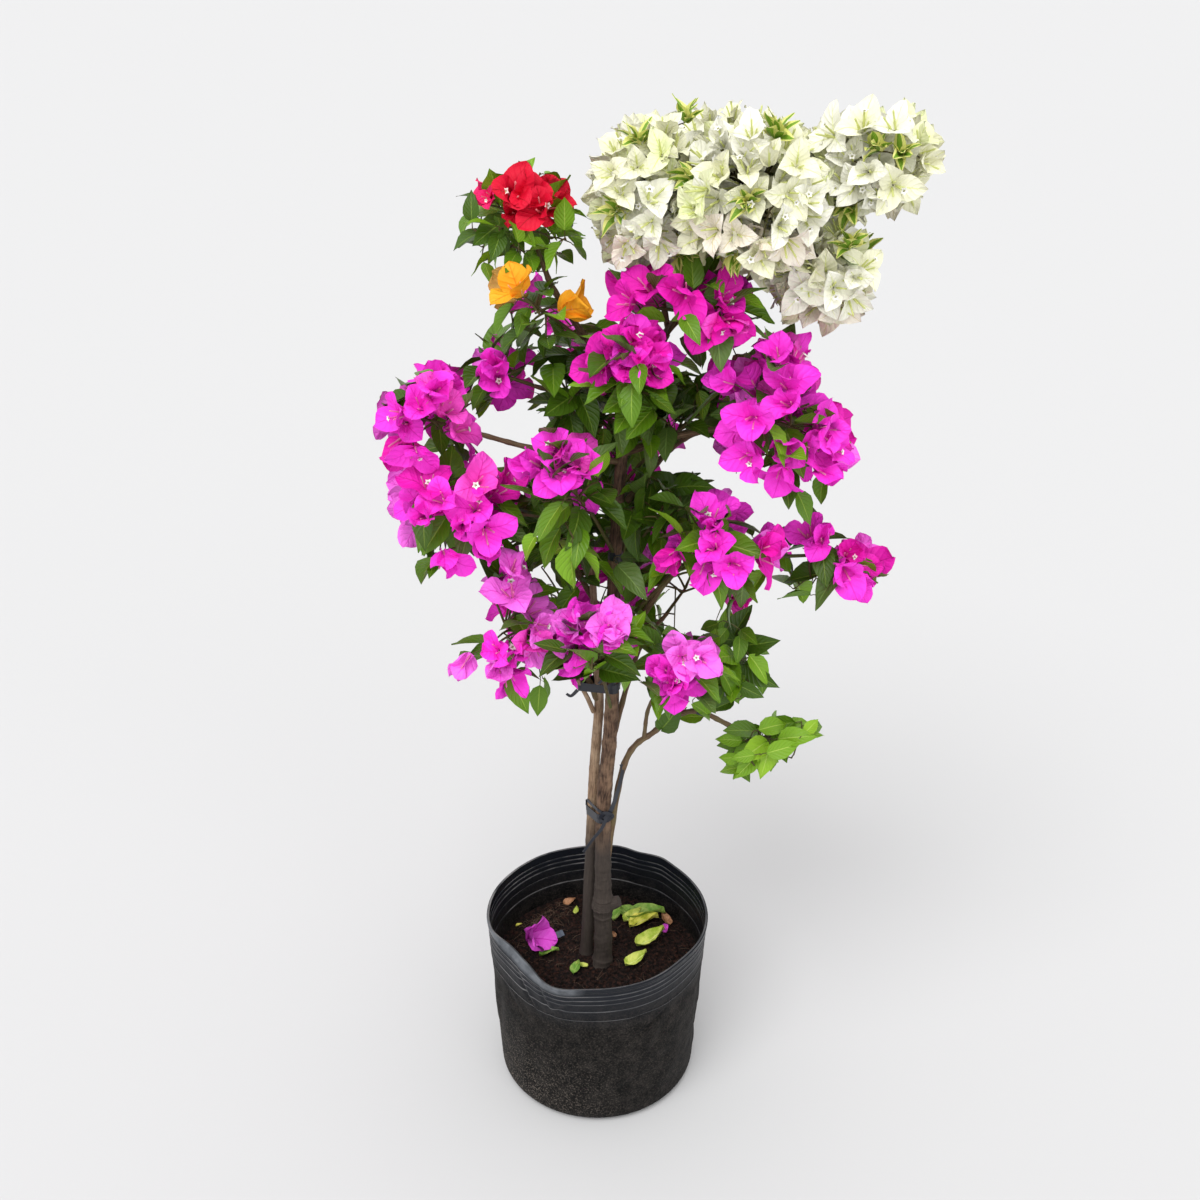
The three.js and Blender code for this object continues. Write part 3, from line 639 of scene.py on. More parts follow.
# Each mass of growth: name, kind, middle, reach, count of twigs, and for a mass with no bough of its own
# the stem that bears it, with the share of that stem's length.
mass_table = (
    ("white_left", "white", (56, 4, 1222), (74, 74, 96), 15),
    ("white_middle", "white", (168, -44, 1240), (84, 70, 84), 15),
    ("white_right", "white", (300, 14, 1254), (84, 74, 74), 15),
    ("white_low", "white", (262, -12, 1150), (68, 64, 70), 13),
    ("white_back", "white", (150, 136, 1196), (100, 82, 86), 12),
    ("red", "red", (-76, -20, 1204), (78, 66, 72), 14),
    ("orange", "orange", (-66, -44, 1116), (66, 54, 52), 14),
    ("magenta_left_high", "magenta", (-108, 14, 1018), (54, 54, 62), 14),
    ("magenta_left_top", "magenta", (-196, -24, 980), (64, 60, 72), 16),
    ("magenta_left", "magenta", (-166, -48, 884), (94, 68, 76), 16),
    ("magenta_front_left", "magenta", (-28, -110, 934), (56, 54, 84), 14, "trunk", 0.79),
    ("magenta_low_left", "magenta", (-110, -58, 734), (84, 74, 106), 15),
    ("magenta_low_front", "magenta", (-2, -110, 726), (66, 58, 66), 13, "trunk", 0.6),
    ("magenta_top", "magenta", (92, -54, 1120), (90, 60, 56), 16),
    ("magenta_front_high", "magenta", (38, -104, 1064), (58, 50, 48), 14, "trunk", 0.94),
    ("magenta_right", "magenta", (206, -62, 994), (84, 74, 94), 17),
    ("magenta_right_middle", "magenta", (130, -84, 855), (76, 62, 70), 14, "trunk", 0.7),
    ("magenta_spur", "magenta", (272, -16, 806), (82, 54, 62), 14),
    ("magenta_low_right", "magenta", (98, -74, 690), (52, 52, 54), 12),
    ("green_low_right", "leafy", (170, -4, 660), (66, 64, 72), 13),
    ("green_spray", "leafy", (222, 16, 522), (74, 62, 54), 14),
    ("green_high_left", "leafy", (-32, 0, 996), (74, 72, 70), 12, "trunk", 0.89),
    ("green_high_right", "leafy", (104, 0, 966), (70, 72, 70), 12, "trunk", 0.84),
    ("green_middle_left", "leafy", (-50, 4, 830), (72, 70, 72), 12, "second_stem", 0.93),
    ("green_middle_right", "leafy", (82, -4, 868), (66, 70, 70), 12, "trunk", 0.76),
    ("back_top", "magenta", (40, 150, 1028), (84, 70, 74), 11),
    ("back_right", "magenta", (206, 142, 934), (80, 76, 82), 11),
    ("back_left", "magenta", (-140, 132, 858), (86, 76, 80), 11),
    ("back_middle", "magenta", (50, 170, 818), (86, 72, 82), 12, "trunk", 0.74),
    ("back_low_right", "magenta", (118, 138, 684), (80, 70, 74), 11),
    ("back_low_left", "magenta", (-46, 144, 660), (80, 70, 80), 11),
)
# Each bough: name, parent, share of the parent's length, mass at its tip, radii of its root and its tip,
# and the points between.
bough_table = (
    ("bough_low_left", "second_stem", 0.66, "magenta_low_left", 4.4, 3, ((-22, 2, 640),)),
    ("bough_low_right", "trunk", 0.315, "green_spray", 4.2, 3, ((34, 0, 492), (74, 4, 545), (122, 6, 574))),
    ("bough_low_right_fork", "bough_low_right", 0.76, "green_low_right", 2.6, 2.2, ((158, 4, 580),)),
    ("bough_low_right_shoot", "bough_low_right", 0.42, "magenta_low_right", 2.6, 2.2, ((66, -8, 590),)),
    ("bough_left", "second_stem", 0.985, "magenta_left", 3.4, 2.6, ((-50, -24, 856),)),
    ("bough_left_top", "trunk", 0.865, "magenta_left_top", 3.8, 2.6, ((-60, -22, 940),)),
    ("bough_left_high", "trunk", 0.91, "magenta_left_high", 3.4, 2.4, ((-34, 14, 992),)),
    ("bough_red", "trunk", 0.965, "red", 4, 2.8, ((-10, -8, 1066), (-46, -14, 1124))),
    ("bough_orange", "bough_red", 0.34, "orange", 2.4, 2, ((-24, -24, 1078),)),
    ("bough_white", "trunk", 0.985, "white_middle", 4.8, 3.2, ((84, -4, 1082), (136, -14, 1142))),
    ("bough_white_left", "bough_white", 0.3, "white_left", 3.4, 2.6, ((72, 12, 1112),)),
    ("bough_white_right", "bough_white", 0.7, "white_right", 3.4, 2.6, ((196, 8, 1188),)),
    ("bough_white_low", "bough_white", 0.52, "white_low", 3.2, 2.4, ((180, -2, 1138),)),
    ("bough_white_back", "bough_white", 0.42, "white_back", 3.4, 2.6, ((120, 46, 1136),)),
    ("bough_top", "trunk", 0.955, "magenta_top", 3.6, 2.6, ((62, -30, 1046),)),
    ("bough_right", "trunk", 0.875, "magenta_right", 4.2, 2.8, ((92, -26, 960),)),
    ("bough_spur", "trunk", 0.66, "magenta_spur", 4, 2.6, ((90, -10, 776), (150, -14, 800))),
    ("bough_back_top", "trunk", 0.93, "back_top", 3.6, 2.6, ((42, 44, 1012),)),
    ("bough_back_right", "trunk", 0.82, "back_right", 4, 2.8, ((92, 58, 914),)),
    ("bough_back_left", "second_stem", 0.88, "back_left", 3.6, 2.6, ((-56, 50, 806),)),
    ("bough_back_low_right", "trunk", 0.52, "back_low_right", 3.6, 2.6, ((52, 40, 640),)),
    ("bough_back_low_left", "second_stem", 0.72, "back_low_left", 3.4, 2.6, ((-14, 46, 640),)),
)
bough_ends = 0.72


class Mass:
    """One mass of leaves and bracts, in a space of its own."""

    def __init__(self, name, kind, at, reach, twigs, bearer=None, along=None):
        self.name, self.kind, self.count, self.bearer, self.along = name, kind, twigs, bearer, along
        self.at, self.reach = Vector(at), Vector(reach)
        self.bough, self.stem = None, None
        self.settled, self.twigs = [], []


class Limb:
    """A smooth curve through points, with a radius at each; its solid has "steps" stretches between two."""

    def __init__(self, line, steps):
        self.line = [(Vector(point), radius) for point, radius in line]
        count = steps * (len(line) - 1)
        self.points = [self.point(k / count) for k in range(count + 1)]
        self.radii = [self.radius(k / count) for k in range(count + 1)]
        self.length = sum((b - a).length for a, b in zip(self.points, self.points[1:]))

    def point(self, share):
        """A uniform Catmull-Rom curve, with its ends carried on straight."""
        points = [point for point, _ in self.line]
        place = (len(points) - 1) * share
        low = min(int(place), len(points) - 2)
        weight = place - low
        before = points[low - 1] if low > 0 else 2 * points[0] - points[1]
        after = points[low + 2] if low + 2 < len(points) else 2 * points[-1] - points[-2]
        start, end = points[low], points[low + 1]
        leave, arrive = (end - before) / 2, (after - start) / 2
        bend, curve = 3 * (end - start) - 2 * leave - arrive, 2 * (start - end) + leave + arrive
        return start + leave * weight + bend * weight**2 + curve * weight**3

    def radius(self, share):
        place = (len(self.line) - 1) * share
        low = min(int(place), len(self.line) - 2)
        return self.line[low][1] + (self.line[low + 1][1] - self.line[low][1]) * (place - low)

    def fine_line(self, pitch, nodes=0.0, node_rise=0.0, seed=1):
        """The limb's points a pitch apart; at each old node the limb swells a little."""
        count = max(4, round(self.length / pitch))
        line = []
        for k in range(count + 1):
            share = k / count
            swell = 0.0
            if nodes:
                away = (share * self.length / nodes + 0.37 * seed) % 1 - 0.5
                swell = node_rise * math.exp(-((away * nodes / 5) ** 2))
            line.append((self.point(share), self.radius(share) * (1 + swell)))
        return line


masses = [Mass(*row) for row in mass_table]
named_mass = {mass.name: mass for mass in masses}
limbs = {
    "trunk": Limb([(point[:3], point[3]) for point in trunk_line], 1),
    "second_stem": Limb([(point[:3], point[3]) for point in second_line], 1),
}


def depth_in(mass, point):
    """How far out a point lies in a mass: 0 at its middle and 1 at its edge."""
    away = point - mass.at
    return Vector((away.x / mass.reach.x, away.y / mass.reach.y, away.z / mass.reach.z)).length


def entry_point(mass, outside):
    """Where a line from outside to the middle of a mass ends, a little way inside its space."""
    return mass.at + (outside - mass.at) * (bough_ends / depth_in(mass, outside))


for name, parent, along, end, root_radius, tip_radius, bends in bough_table:
    mass = named_mass[end]
    points = [limbs[parent].point(along), *map(Vector, bends)]
    points.append(entry_point(mass, points[-1]))
    taper = [root_radius + (tip_radius - root_radius) * k / (len(points) - 1) for k in range(len(points))]
    limbs[name] = Limb(list(zip(points, taper)), 2)
    mass.bough = name


def bark_finish(name, shaded_groove, ridge, patina, roughness, grey_below=0.0):
    """Bark: grooves and ridges laid along the stem, the grooves darker partly in their own colour and
    partly as painted shade, blotched, and greyer where the mix splashes it.
    """
    material, tree, surface = new_finish(name, ridge, roughness, 0.3)
    around = step(tree, "ShaderNodeAttribute", {"attribute_name": "ring"}).outputs["Vector"]
    along = step(tree, "ShaderNodeAttribute", {"attribute_name": "along"}).outputs["Fac"]
    place = object_place(tree)
    laid = step(tree, "ShaderNodeCombineXYZ", None, Z=maths(tree, "MULTIPLY", along, 30.0))
    laid = vectors(tree, "MULTIPLY_ADD", around, (2.6, 2.6, 2.6), laid.outputs["Vector"])
    streak = grain(tree, laid, 2.2, 5, 0.65)
    # The grooves darken where the relief sinks: partly the bark's own colour, partly painted shade in the
    # furrows.
    colour = blend(tree, ramp(tree, streak, ((0.36, 0.0), (0.62, 1.0))), shaded_groove, ridge)
    blotch = ramp(tree, grain(tree, place, 42, 3), ((0.45, 0.0), (0.72, 0.8)))
    colour = blend(tree, blotch, colour, patina)
    if grey_below:
        height = step(tree, "ShaderNodeSeparateXYZ", Vector=place).outputs["Z"]
        dull = blend(tree, streak, (0.018, 0.014, 0.012), (0.075, 0.058, 0.048))
        colour = blend(tree, band(tree, height, grey_below + 0.07, grey_below), colour, dull)
    coat(tree, surface, colour, maths(tree, "ADD", streak, grain(tree, place, 700, 3)), 0.5, 0.0012)
    return material


# Each bark: its grooves, darkened partly with painted shade, its ridges and patina, its roughness, and the
# height in metres below which it is grey.
rough_bark = bark_finish(
    "rough_bark", (0.014, 0.007, 0.005), (0.15, 0.086, 0.054), (0.30, 0.19, 0.12), 0.85, 0.36,
)
smooth_bark = bark_finish(
    "smooth_bark", (0.11, 0.065, 0.038), (0.37, 0.245, 0.155), (0.50, 0.37, 0.25), 0.75, 0.36,
)
bough_bark = bark_finish("bough_bark", (0.060, 0.034, 0.018), (0.20, 0.125, 0.070), (0.16, 0.14, 0.06), 0.7)

trunk_lines = [limbs["trunk"].fine_line(1.7, 46, 0.07), [(Vector(p[:3]), p[3]) for p in stub_line]]
trunk_piece = shown(tubes("trunk_bark", trunk_lines, 44, rough_bark, 0.26, 2.6, 3.0))
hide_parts("trunk")

second_lines = [limbs["second_stem"].fine_line(2.4, 52, 0.05, 2)]
second_lines += [[(Vector(point), radius) for point, radius in fork_line]]
second_piece = shown(tubes("second_stem_bark", second_lines, 30, smooth_bark, 0.14, 1.8, 8.0))
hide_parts("second_stem")

bough_names = [row[0] for row in bough_table]
bough_lines = [limbs[name].fine_line(3.2, 24, 0.16, k) for k, name in enumerate(bough_names)]
boughs_piece = shown(tubes("bough_bark", bough_lines, 12, bough_bark, 0.24, 1.4, 5.0))
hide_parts(*bough_names)

# ---------------------------------------------------------------------------------------------------------
# Thin strips of blue-black polythene tie the stems to each other, low down and at the fork, with loose ends
# and loops left standing out. More of it is wound close round three limbs, and grey tape round a fourth.


def strip_mesh(name, lines, material):
    """Flat strips along lines of (point, outward direction, width, thickness), closed at their ends."""
    points, faces = [], []
    for line in lines:
        first = len(points)
        for k, (point, outward, width, thickness) in enumerate(line):
            ahead, behind = line[min(k + 1, len(line) - 1)][0], line[max(k - 1, 0)][0]
            across = (ahead - behind).cross(outward).normalized()
            out = across.cross(ahead - behind).normalized()
            for side, lift in ((-1, 0), (1, 0), (1, 1), (-1, 1)):
                points.append(point + across * side * width / 2 + out * lift * thickness)
        for k in range(len(line) - 1):
            for corner in range(4):
                low, high = first + 4 * k, first + 4 * (k + 1)
                after = (corner + 1) % 4
                faces.append((low + corner, low + after, high + after, high + corner))
        last = first + 4 * (len(line) - 1)
        faces += [(first + 3, first + 2, first + 1, first), (last, last + 1, last + 2, last + 3)]
    piece = faced_outward(mesh_object(name, points, faces, (material,)))
    piece.data.polygons.foreach_set("use_smooth", [False] * len(piece.data.polygons))
    return piece


def wound(rounds, height, climb, turns, width, slack=0.6, seed=1):
    """A strip wound round several (point, radius) rounds at once, in a height range."""
    draw, line, per_turn = seeded(seed), [], 40
    count = round(per_turn * turns)
    for k in range(count + 1):
        angle = 2 * math.pi * k / per_turn + 0.7 * seed
        out = Vector((math.cos(angle), math.sin(angle), 0))
        point = max((point + out * radius for point, radius in rounds), key=out.dot)
        layer = 0.5 * k / per_turn + slack * draw()
        lift = climb * k / count + 2.2 * math.sin(angle + seed)
        place = Vector((point.x, point.y, height + lift)) + out * layer
        line.append((place, out, width * (0.8 + 0.4 * draw()), 0.35))
    return line


def loose(points, width, out=Vector((0, -1, 0))):
    """A loose end through the given points."""
    path = Limb([(Vector(point), 1) for point in points], 6).points
    return [(point, out, width * (1 - 0.35 * k / len(path)), 0.4) for k, point in enumerate(path)]


def limb_round(name, height, grow=0.3):
    """A limb's middle and radius at a height."""
    limb = limbs[name]
    share = min((k / 200 for k in range(201)), key=lambda one: abs(limb.point(one).z - height))
    return limb.point(share), limb.radius(share) + grow


def along_limb(name, share, length, width, seed):
    """A strip wound closely round a limb at a share of its length."""
    limb, draw, line = limbs[name], seeded(seed), []
    onward = (limb.point(share + 0.01) - limb.point(share - 0.01)).normalized()
    for k in range(61):
        out = spread(onward, 2 * math.pi * k / 15)[0]
        point = limb.point(share) + onward * (k / 60 - 0.5) * length
        line.append((point + out * (limb.radius(share) + 0.5 + 0.5 * draw()), out, width, 0.35))
    return line


def spread(normal, spin):
    """Two directions square to a normal, turned by a spin."""
    helper = Vector((0, 0, 1)) if abs(normal.z) < 0.8 else Vector((1, 0, 0))
    first = Matrix.Rotation(spin, 3, normal) @ helper.cross(normal).normalized()
    return first, normal.cross(first)


def both_stems(height):
    return [limb_round("trunk", height), limb_round("second_stem", height)]


def stem_ties():
    fork = [*both_stems(618), (Vector((-20, -1, 618)), 2.6)]
    lines = [wound(both_stems(426), 414, 16, 2.2, 7, seed=3)]
    lines += [wound(both_stems(430), 434, -12, 1.2, 5, seed=5)]
    lines += [loose(((13, -19, 428), (6, -21, 410), (-6, -21, 392), (-18, -20, 371)), 5)]
    lines += [loose(((10, -19, 424), (19, -19, 440), (28, -10, 466), (33, -4, 490), (31, -3, 499)), 6)]
    lines += [loose(((12, -18, 420), (20, -20, 430), (10, -22, 436), (4, -19, 424), (12, -20, 418)), 6)]
    lines += [wound(fork, 612, 10, 2.1, 6, seed=2), wound(fork, 622, -8, 1.1, 5, seed=7)]
    lines += [loose(((-24, -8, 614), (-32, -12, 608), (-38, -12, 611)), 5)]
    lines += [loose(((14, -14, 622), (22, -18, 632), (12, -18, 638), (2, -16, 628)), 5)]
    lines += [along_limb("bough_low_right", 0.8, 13, 4, 5), along_limb("trunk", 0.79, 9, 4, 6)]
    return lines + [along_limb("bough_white", 0.16, 9, 4, 8)]


tie_film = new_finish("blue_black_tie_film", (0.012, 0.014, 0.022), 0.32)[0]
shown(strip_mesh("stem_ties", stem_ties(), tie_film))
tape = new_finish("grey_tape", (0.20, 0.20, 0.21), 0.5)[0]
shown(strip_mesh("graft_tape", [along_limb("bough_low_right_fork", 0.8, 16, 5, 9)], tape))

# ---------------------------------------------------------------------------------------------------------
# The plant grows twigs in each mass by the same rule as its solids: from a stem that goes on from the
# bough's tip, to all sides by the golden angle, each ending in a bloom or in leaves. The rule is carried on
# to finer twigs, which start from the nearest twig further in and fill the same space.
leaf = {"length": 62, "width": 40, "widest": 0.42, "thickness": 2.4, "fold": 5, "sunk": 1.6, "spacing": 26}
bloom = {"radius": 30, "waist": 0.5, "cup": 8, "thickness": 4.4, "spacing": 43}
stem_radius, twig_radius, gap = 2.6, 1.7, 0.3
# Finer twigs, those under the young tufts, and the short spurs on the limbs.
fine_radius, tuft_radius, spur_radius = 1.15, 1.1, 1.0
twig_room, piece_room = 2.6, 1.8
bloom_places = (0.88, 0.76, 0.64, 0.5, 0.36)
leaf_places = (0.95, 0.85, 0.75, 0.65, 0.55, 0.45)
golden_angle = math.pi * (3 - math.sqrt(5))
up = Vector((0, 0, 1))
# Each kind: leaves under a bloom, height above which a twig blooms, how far out leafy twigs reach; then
# for the finer growth: tries, blooms and leaves wanted, and the spacing between blooms.
kind_columns = ("leaves", "above", "short", "tries", "blooms", "foliage", "apart")
kind_rows = {
    "magenta": (1, -0.6, 0.6, 360, 42, 26, 20),
    "white": (0, -1.0, 0.6, 760, 140, 8, 17),
    "red": (1, 0.1, 0.55, 220, 18, 62, 17),
    "orange": (1, -0.6, 0.5, 120, 6, 34, 26),
    "leafy": (3, 1.0, 0.5, 110, 0, 74, 29),
}
kinds = {kind: dict(zip(kind_columns, row)) for kind, row in kind_rows.items()}
# The crown is open in places, and its colours keep to clusters. Both are given as seen from the front, on
# the plane of the stems: across and height of the middle, then half the width and half the height.
front_eye = Vector((4, -1565, 1562))
open_places = (
    (-105, 951, 48, 34), (-62, 1014, 8, 19), (-29, 1121, 15, 10), (10, 1092, 24, 13), (80, 1063, 20, 18),
    (-22, 977, 11, 12), (119, 930, 32, 25), (88, 907, 20, 17), (-1, 854, 14, 15), (-60, 771, 13, 20),
    (-6, 745, 15, 16), (113, 733, 38, 40), (198, 853, 31, 17), (242, 792, 11, 10), (185, 1029, 8, 9),
    (45, 560, 17, 50), (182, 568, 30, 16), (240, 709, 73, 19), (-161, 720, 29, 44), (-204, 954, 9, 10),
)
clusters = {
    "magenta_left_top": (
        (-182, 1004, 37, 34), (-232, 981, 19, 20), (-156, 958, 18, 19), (-224, 935, 20, 29),
    ),
    "magenta_left_high": ((-102, 1038, 30, 36), (-128, 981, 20, 22)),
    "magenta_left": (
        (-211, 875, 34, 40), (-145, 875, 50, 45), (-127, 823, 26, 36),
        (-195, 796, 26, 28), (-91, 910, 16, 20),
    ),
    "magenta_front_left": ((-33, 912, 42, 46), (-34, 838, 19, 27), (-89, 914, 16, 17)),
    "magenta_low_left": (
        (-104, 770, 27, 37), (-75, 698, 29, 51), (-163, 647, 27, 29), (-115, 635, 26, 34),
    ),
    "magenta_low_front": ((6, 688, 54, 40), (-28, 645, 19, 24)),
    "magenta_low_right": ((96, 632, 32, 49), (135, 667, 17, 16)),
    "magenta_top": ((39, 1120, 32, 32), (120, 1102, 55, 40)),
    "magenta_front_high": ((55, 1041, 38, 35), (0, 1033, 22, 16)),
    "magenta_right": (
        (207, 1056, 33, 23), (150, 1029, 29, 19), (216, 1013, 36, 34),
        (166, 959, 25, 67), (264, 932, 30, 51), (231, 915, 28, 49),
    ),
    "magenta_right_middle": (
        (139, 844, 25, 39), (83, 796, 25, 32), (153, 788, 35, 32), (206, 812, 24, 26),
    ),
    "magenta_spur": ((255, 831, 25, 27), (311, 783, 34, 38)),
    "white_left": ((59, 1229, 68, 89),),
    "white_middle": ((163, 1225, 85, 91),),
    "white_right": ((280, 1262, 84, 56), (318, 1268, 46, 48)),
    "white_low": ((240, 1151, 67, 66),),
    "red": ((-66, 1227, 45, 31), (-124, 1236, 18, 17)),
    "orange": ((-79, 1126, 28, 24), (-20, 1096, 12, 12)),
}
white_ovals = [oval for name, ovals in clusters.items() if name.startswith("white") for oval in ovals]
# Where leaves are seen besides: the middle of the crown, its low sprays, and below the single blooms.
leafy_ovals = (
    (27, 907, 110, 196), (53, 723, 104, 84), (163, 650, 55, 71), (-103, 1183, 54, 38), (-55, 1172, 41, 45),
    (-62, 1086, 53, 38), (191, 1102, 29, 16), (-71, 616, 25, 46), (-125, 729, 27, 19), (169, 751, 29, 30),
    (246, 753, 31, 27), (196, 527, 46, 51), (246, 554, 38, 24), (61, 587, 38, 53), (126, 737, 36, 27),
)
# No leaf hangs before the tie at the fork.
tie_place = ((4, 603, 36, 20),)
flowering_ovals = tuple(oval for ovals in clusters.values() for oval in ovals)
crown_ovals = leafy_ovals + flowering_ovals
# The low right sprays are open and small-leaved: where their leaves stand, as seen from the front.
leaf_clusters = {
    "green_spray": ((196, 527, 48, 50), (249, 554, 36, 24)), "green_low_right": ((163, 650, 56, 68),),
}
leaf_counts = {"green_spray": 40, "green_low_right": 38}
# The leaves of these sprays turn their upper faces to the light in front.
spray_face = Vector((0, -0.8, 0.6))
leaf_droop = {"green_spray": 0.75, "green_low_right": 0.5}
leaf_sizes = {"green_spray": 0.86, "green_low_right": 0.88, "red": 0.7, "orange": 0.85}
# Blooms of these stand out to the crown's edge: the depth that they may reach, and the first places tried.
edge_masses = (
    "white_left", "white_middle", "white_right", "white_low",
    "magenta_left_top", "magenta_right_middle", "magenta_low_right",
)
outer_growth = {"magenta_low_left": (1.3, (1.12, 1.02)), **dict.fromkeys(edge_masses, (1.14, (1.0,)))}
bloom_counts = {"magenta_right": 62, "magenta_left_top": 40, "magenta_front_left": 13}
# The blooms that face the front stand wider apart than their kind's.
bloom_spacing = {
    "magenta_front_left": 32, "magenta_low_front": 30, "magenta_front_high": 28, "magenta_low_left": 24,
}
# How far the bracts of a bloom of full size reach from its middle.
bract_reach, white_bract_reach = 30, 26
# From the side the magenta crown is rounded: it is deepest at half its height. Its middle height, half its
# height, how far it draws in at its ends, and how far single blooms may stand back besides.
crown_middle, crown_half, crown_rounding, bloom_setback = 880, 260, 36, 16
# The red blooms to the left of this are small.
small_red_left_of, small_red_share = -105, 0.5
# Blooms and leaves stay this near to the outermost ones of the solids.
box_slack = Vector((4, 3, 10))
box_low, box_high = Vector(cad_low) / MM - box_slack, Vector(cad_high) / MM + box_slack


def seen_at(point):
    """Where a point is seen from the front, on the plane of the stems: across and height."""
    seen = front_eye + (point - front_eye) * (front_eye.y / (front_eye.y - point.y))
    return seen.x, seen.z


def within(seen, places, inset=0.0):
    """Whether a place seen from the front lies in one of the ovals, each smaller all round by an inset."""
    return any(((seen[0] - x) / max(wide - inset, 0.5 * wide)) ** 2
               + ((seen[1] - z) / max(high - inset, 0.5 * high)) ** 2 < 1 for x, z, wide, high in places)


def blooms_at(mass, point, way):
    """Whether a mass flowers at a point: in its clusters, or on its far side if it grows at the back."""
    seen = seen_at(point + 20 * way + 10 * up)
    if mass.name.startswith("back"):
        places = crown_ovals if way.y > 0.05 else flowering_ovals
        return within(seen, places, 16)
    return mass.name not in clusters or within(seen, clusters[mass.name], 7 if mass.kind == "white" else 13)


def keeps_open(points):
    return not any(within(seen_at(point), open_places) for point in points)


middles = np.array([mass.at for mass in masses])
reaches = np.array([mass.reach for mass in masses])


def mass_stem(mass):
    """The stem of a mass runs from its bough's tip, or from the limb that bears it, to its heart."""
    if mass.bough is None:
        root = limbs[mass.bearer].point(mass.along)
        lifted = root.lerp(mass.at, 0.5) + 6 * up
        return [root, lifted, mass.at]
    points = limbs[mass.bough].points
    root = points[-1] + gap * (points[-1] - points[-2]).normalized()
    return [root, root.lerp(mass.at, 0.5), mass.at]


for mass in masses:
    mass.stem = mass_stem(mass)

stretches = []
for limb in limbs.values():
    stretches += [(a, b, radius, -1) for a, b, radius in zip(limb.points, limb.points[1:], limb.radii)]
for number, mass in enumerate(masses):
    stretches += [(a, b, stem_radius, number) for a, b in zip(mass.stem, mass.stem[1:])]
heads = np.array([stretch[0] for stretch in stretches])
ways = np.array([stretch[1] - stretch[0] for stretch in stretches])
widths = np.array([stretch[2] for stretch in stretches])
owners = np.array([stretch[3] for stretch in stretches])


def in_space(number, points, margin=0.03, edge=1.0):
    """Whether all points lie inside a mass's reach and deeper in it than in any neighbour."""
    depths = np.linalg.norm((points[:, None] - middles) / reaches, axis=2)
    own = depths[:, number].copy()
    depths[:, number] = np.inf
    return bool((own < edge).all() and (depths > own[:, None] + margin).all())


def clear_of_limbs(number, points, room):
    """Whether all points are clear of every limb and of the stems of the other masses."""
    away = points[:, None] - heads
    share = np.clip((away * ways).sum(2) / (ways * ways).sum(1), 0, 1)
    distance = np.linalg.norm(away - share[..., None] * ways, axis=2)
    return bool((distance[:, owners != number] >= widths[owners != number] + room).all())


def sampled(points):
    """The corners of a thin piece, and a third and two thirds of the way between each two of them."""
    points = np.array(points)
    thirds = points[:, None] + (points[None] - points[:, None]) / 3
    return np.concatenate((points, thirds[~np.eye(len(points), dtype=bool)]))


def fits(number, points, room):
    points = sampled(points)
    return in_space(number, points) and clear_of_limbs(number, points, room)


def twig_fits(number, start, end):
    return fits(number, [start.lerp(end, 0.4), end], twig_room)


def settle(mass, number, points, spacing):
    """A new piece keeps its middle clear of the middles of the pieces that its mass already bears."""
    middle = sum(points, Vector()) / len(points)
    if any((other - middle).length < spacing for other in mass.settled):
        return False
    if not fits(number, points, piece_room):
        return False
    mass.settled.append(middle)
    return True


def between(first, second, turn):
    """The direction a turn away from the first of two directions, towards the second."""
    return math.cos(turn) * first + math.sin(turn) * second


def bloom_points(middle, facing, spin):
    first, second = spread(facing, spin)
    points = []
    for k in range(6):
        radius = bloom["radius"] * (1 if k % 2 == 0 else bloom["waist"])
        turn = math.pi * k / 3
        rise = bloom["cup"] * (0.6 if k % 2 == 0 else 1)
        points.append(middle + radius * between(first, second, turn) + rise * facing)
    return [*points, middle + bloom["thickness"] * facing]


def leaf_points(root, direction, size):
    side = direction.cross(up).normalized()
    face = side.cross(direction)
    widest = root + direction * leaf["widest"] * size * leaf["length"]
    half = 0.5 * size * leaf["width"] * side
    return [
        root - leaf["sunk"] * direction, root + size * leaf["length"] * direction,
        widest + half + leaf["fold"] * face, widest - half + leaf["fold"] * face,
        widest + leaf["thickness"] / 2 * face, widest - leaf["thickness"] / 2 * face,
    ]


def scaled(way, reach):
    return Vector((way.x * reach.x, way.y * reach.y, way.z * reach.z))


def golden_way(k, count, jitter):
    """Direction number k of a count spread evenly to all sides."""
    height = 1 - 2 * (k + 0.5) / count
    turn = k * golden_angle + 0.7 * jitter
    flat = math.sqrt(1 - height * height)
    return Vector((flat * math.cos(turn), flat * math.sin(turn), height))


class Twig:
    """A twig from its root to its tip, with the spray it belongs to."""

    def __init__(self, start, end, spray, radius, bears):
        self.start, self.end, self.spray, self.radius, self.bears = start, end, spray, radius, bears
        self.sag = (end - start).length * 0.08
        self.parent, self.parted_at, self.grown = None, 0.0, 1.0 if bears else 0.0

    def point(self, share):
        """A twig rises a little and then bends over."""
        return self.start.lerp(self.end, share) + 4 * share * (1 - share) * self.sag * up


blooms, leaves = [], []


def add_bloom(mass, middle, facing, spin, spray, size):
    """Adds a bloom, moved inward if its bracts would stand out beyond the crown."""
    reach = Vector((1, 1, 1)) * (white_bract_reach if mass.kind == "white" else bract_reach) * size
    low, high = box_low + reach - 8 * facing, box_high - reach - 8 * facing
    if mass.kind == "magenta":
        drawn_in = crown_rounding * min(1.0, abs(middle.z - crown_middle) / crown_half) ** 2
        drawn_in += bloom_setback * spin / (2 * math.pi)
        low.y, high.y = low.y + drawn_in, high.y - drawn_in
    middle = Vector([min(max(c, a), b) for c, a, b in zip(middle, low, high)])
    if mass.name == "red" and middle.x < small_red_left_of:
        size *= small_red_share
    bloom_made = {"mass": mass, "at": middle, "facing": facing, "spin": spin, "spray": spray, "size": size}
    blooms.append(bloom_made)
    return middle


def branch_off(mass, parent, place, twig):
    """Adds a finer twig that leaves its parent at a share of the parent's length."""
    twig.parent, twig.parted_at = parent, place
    mass.twigs.append(twig)


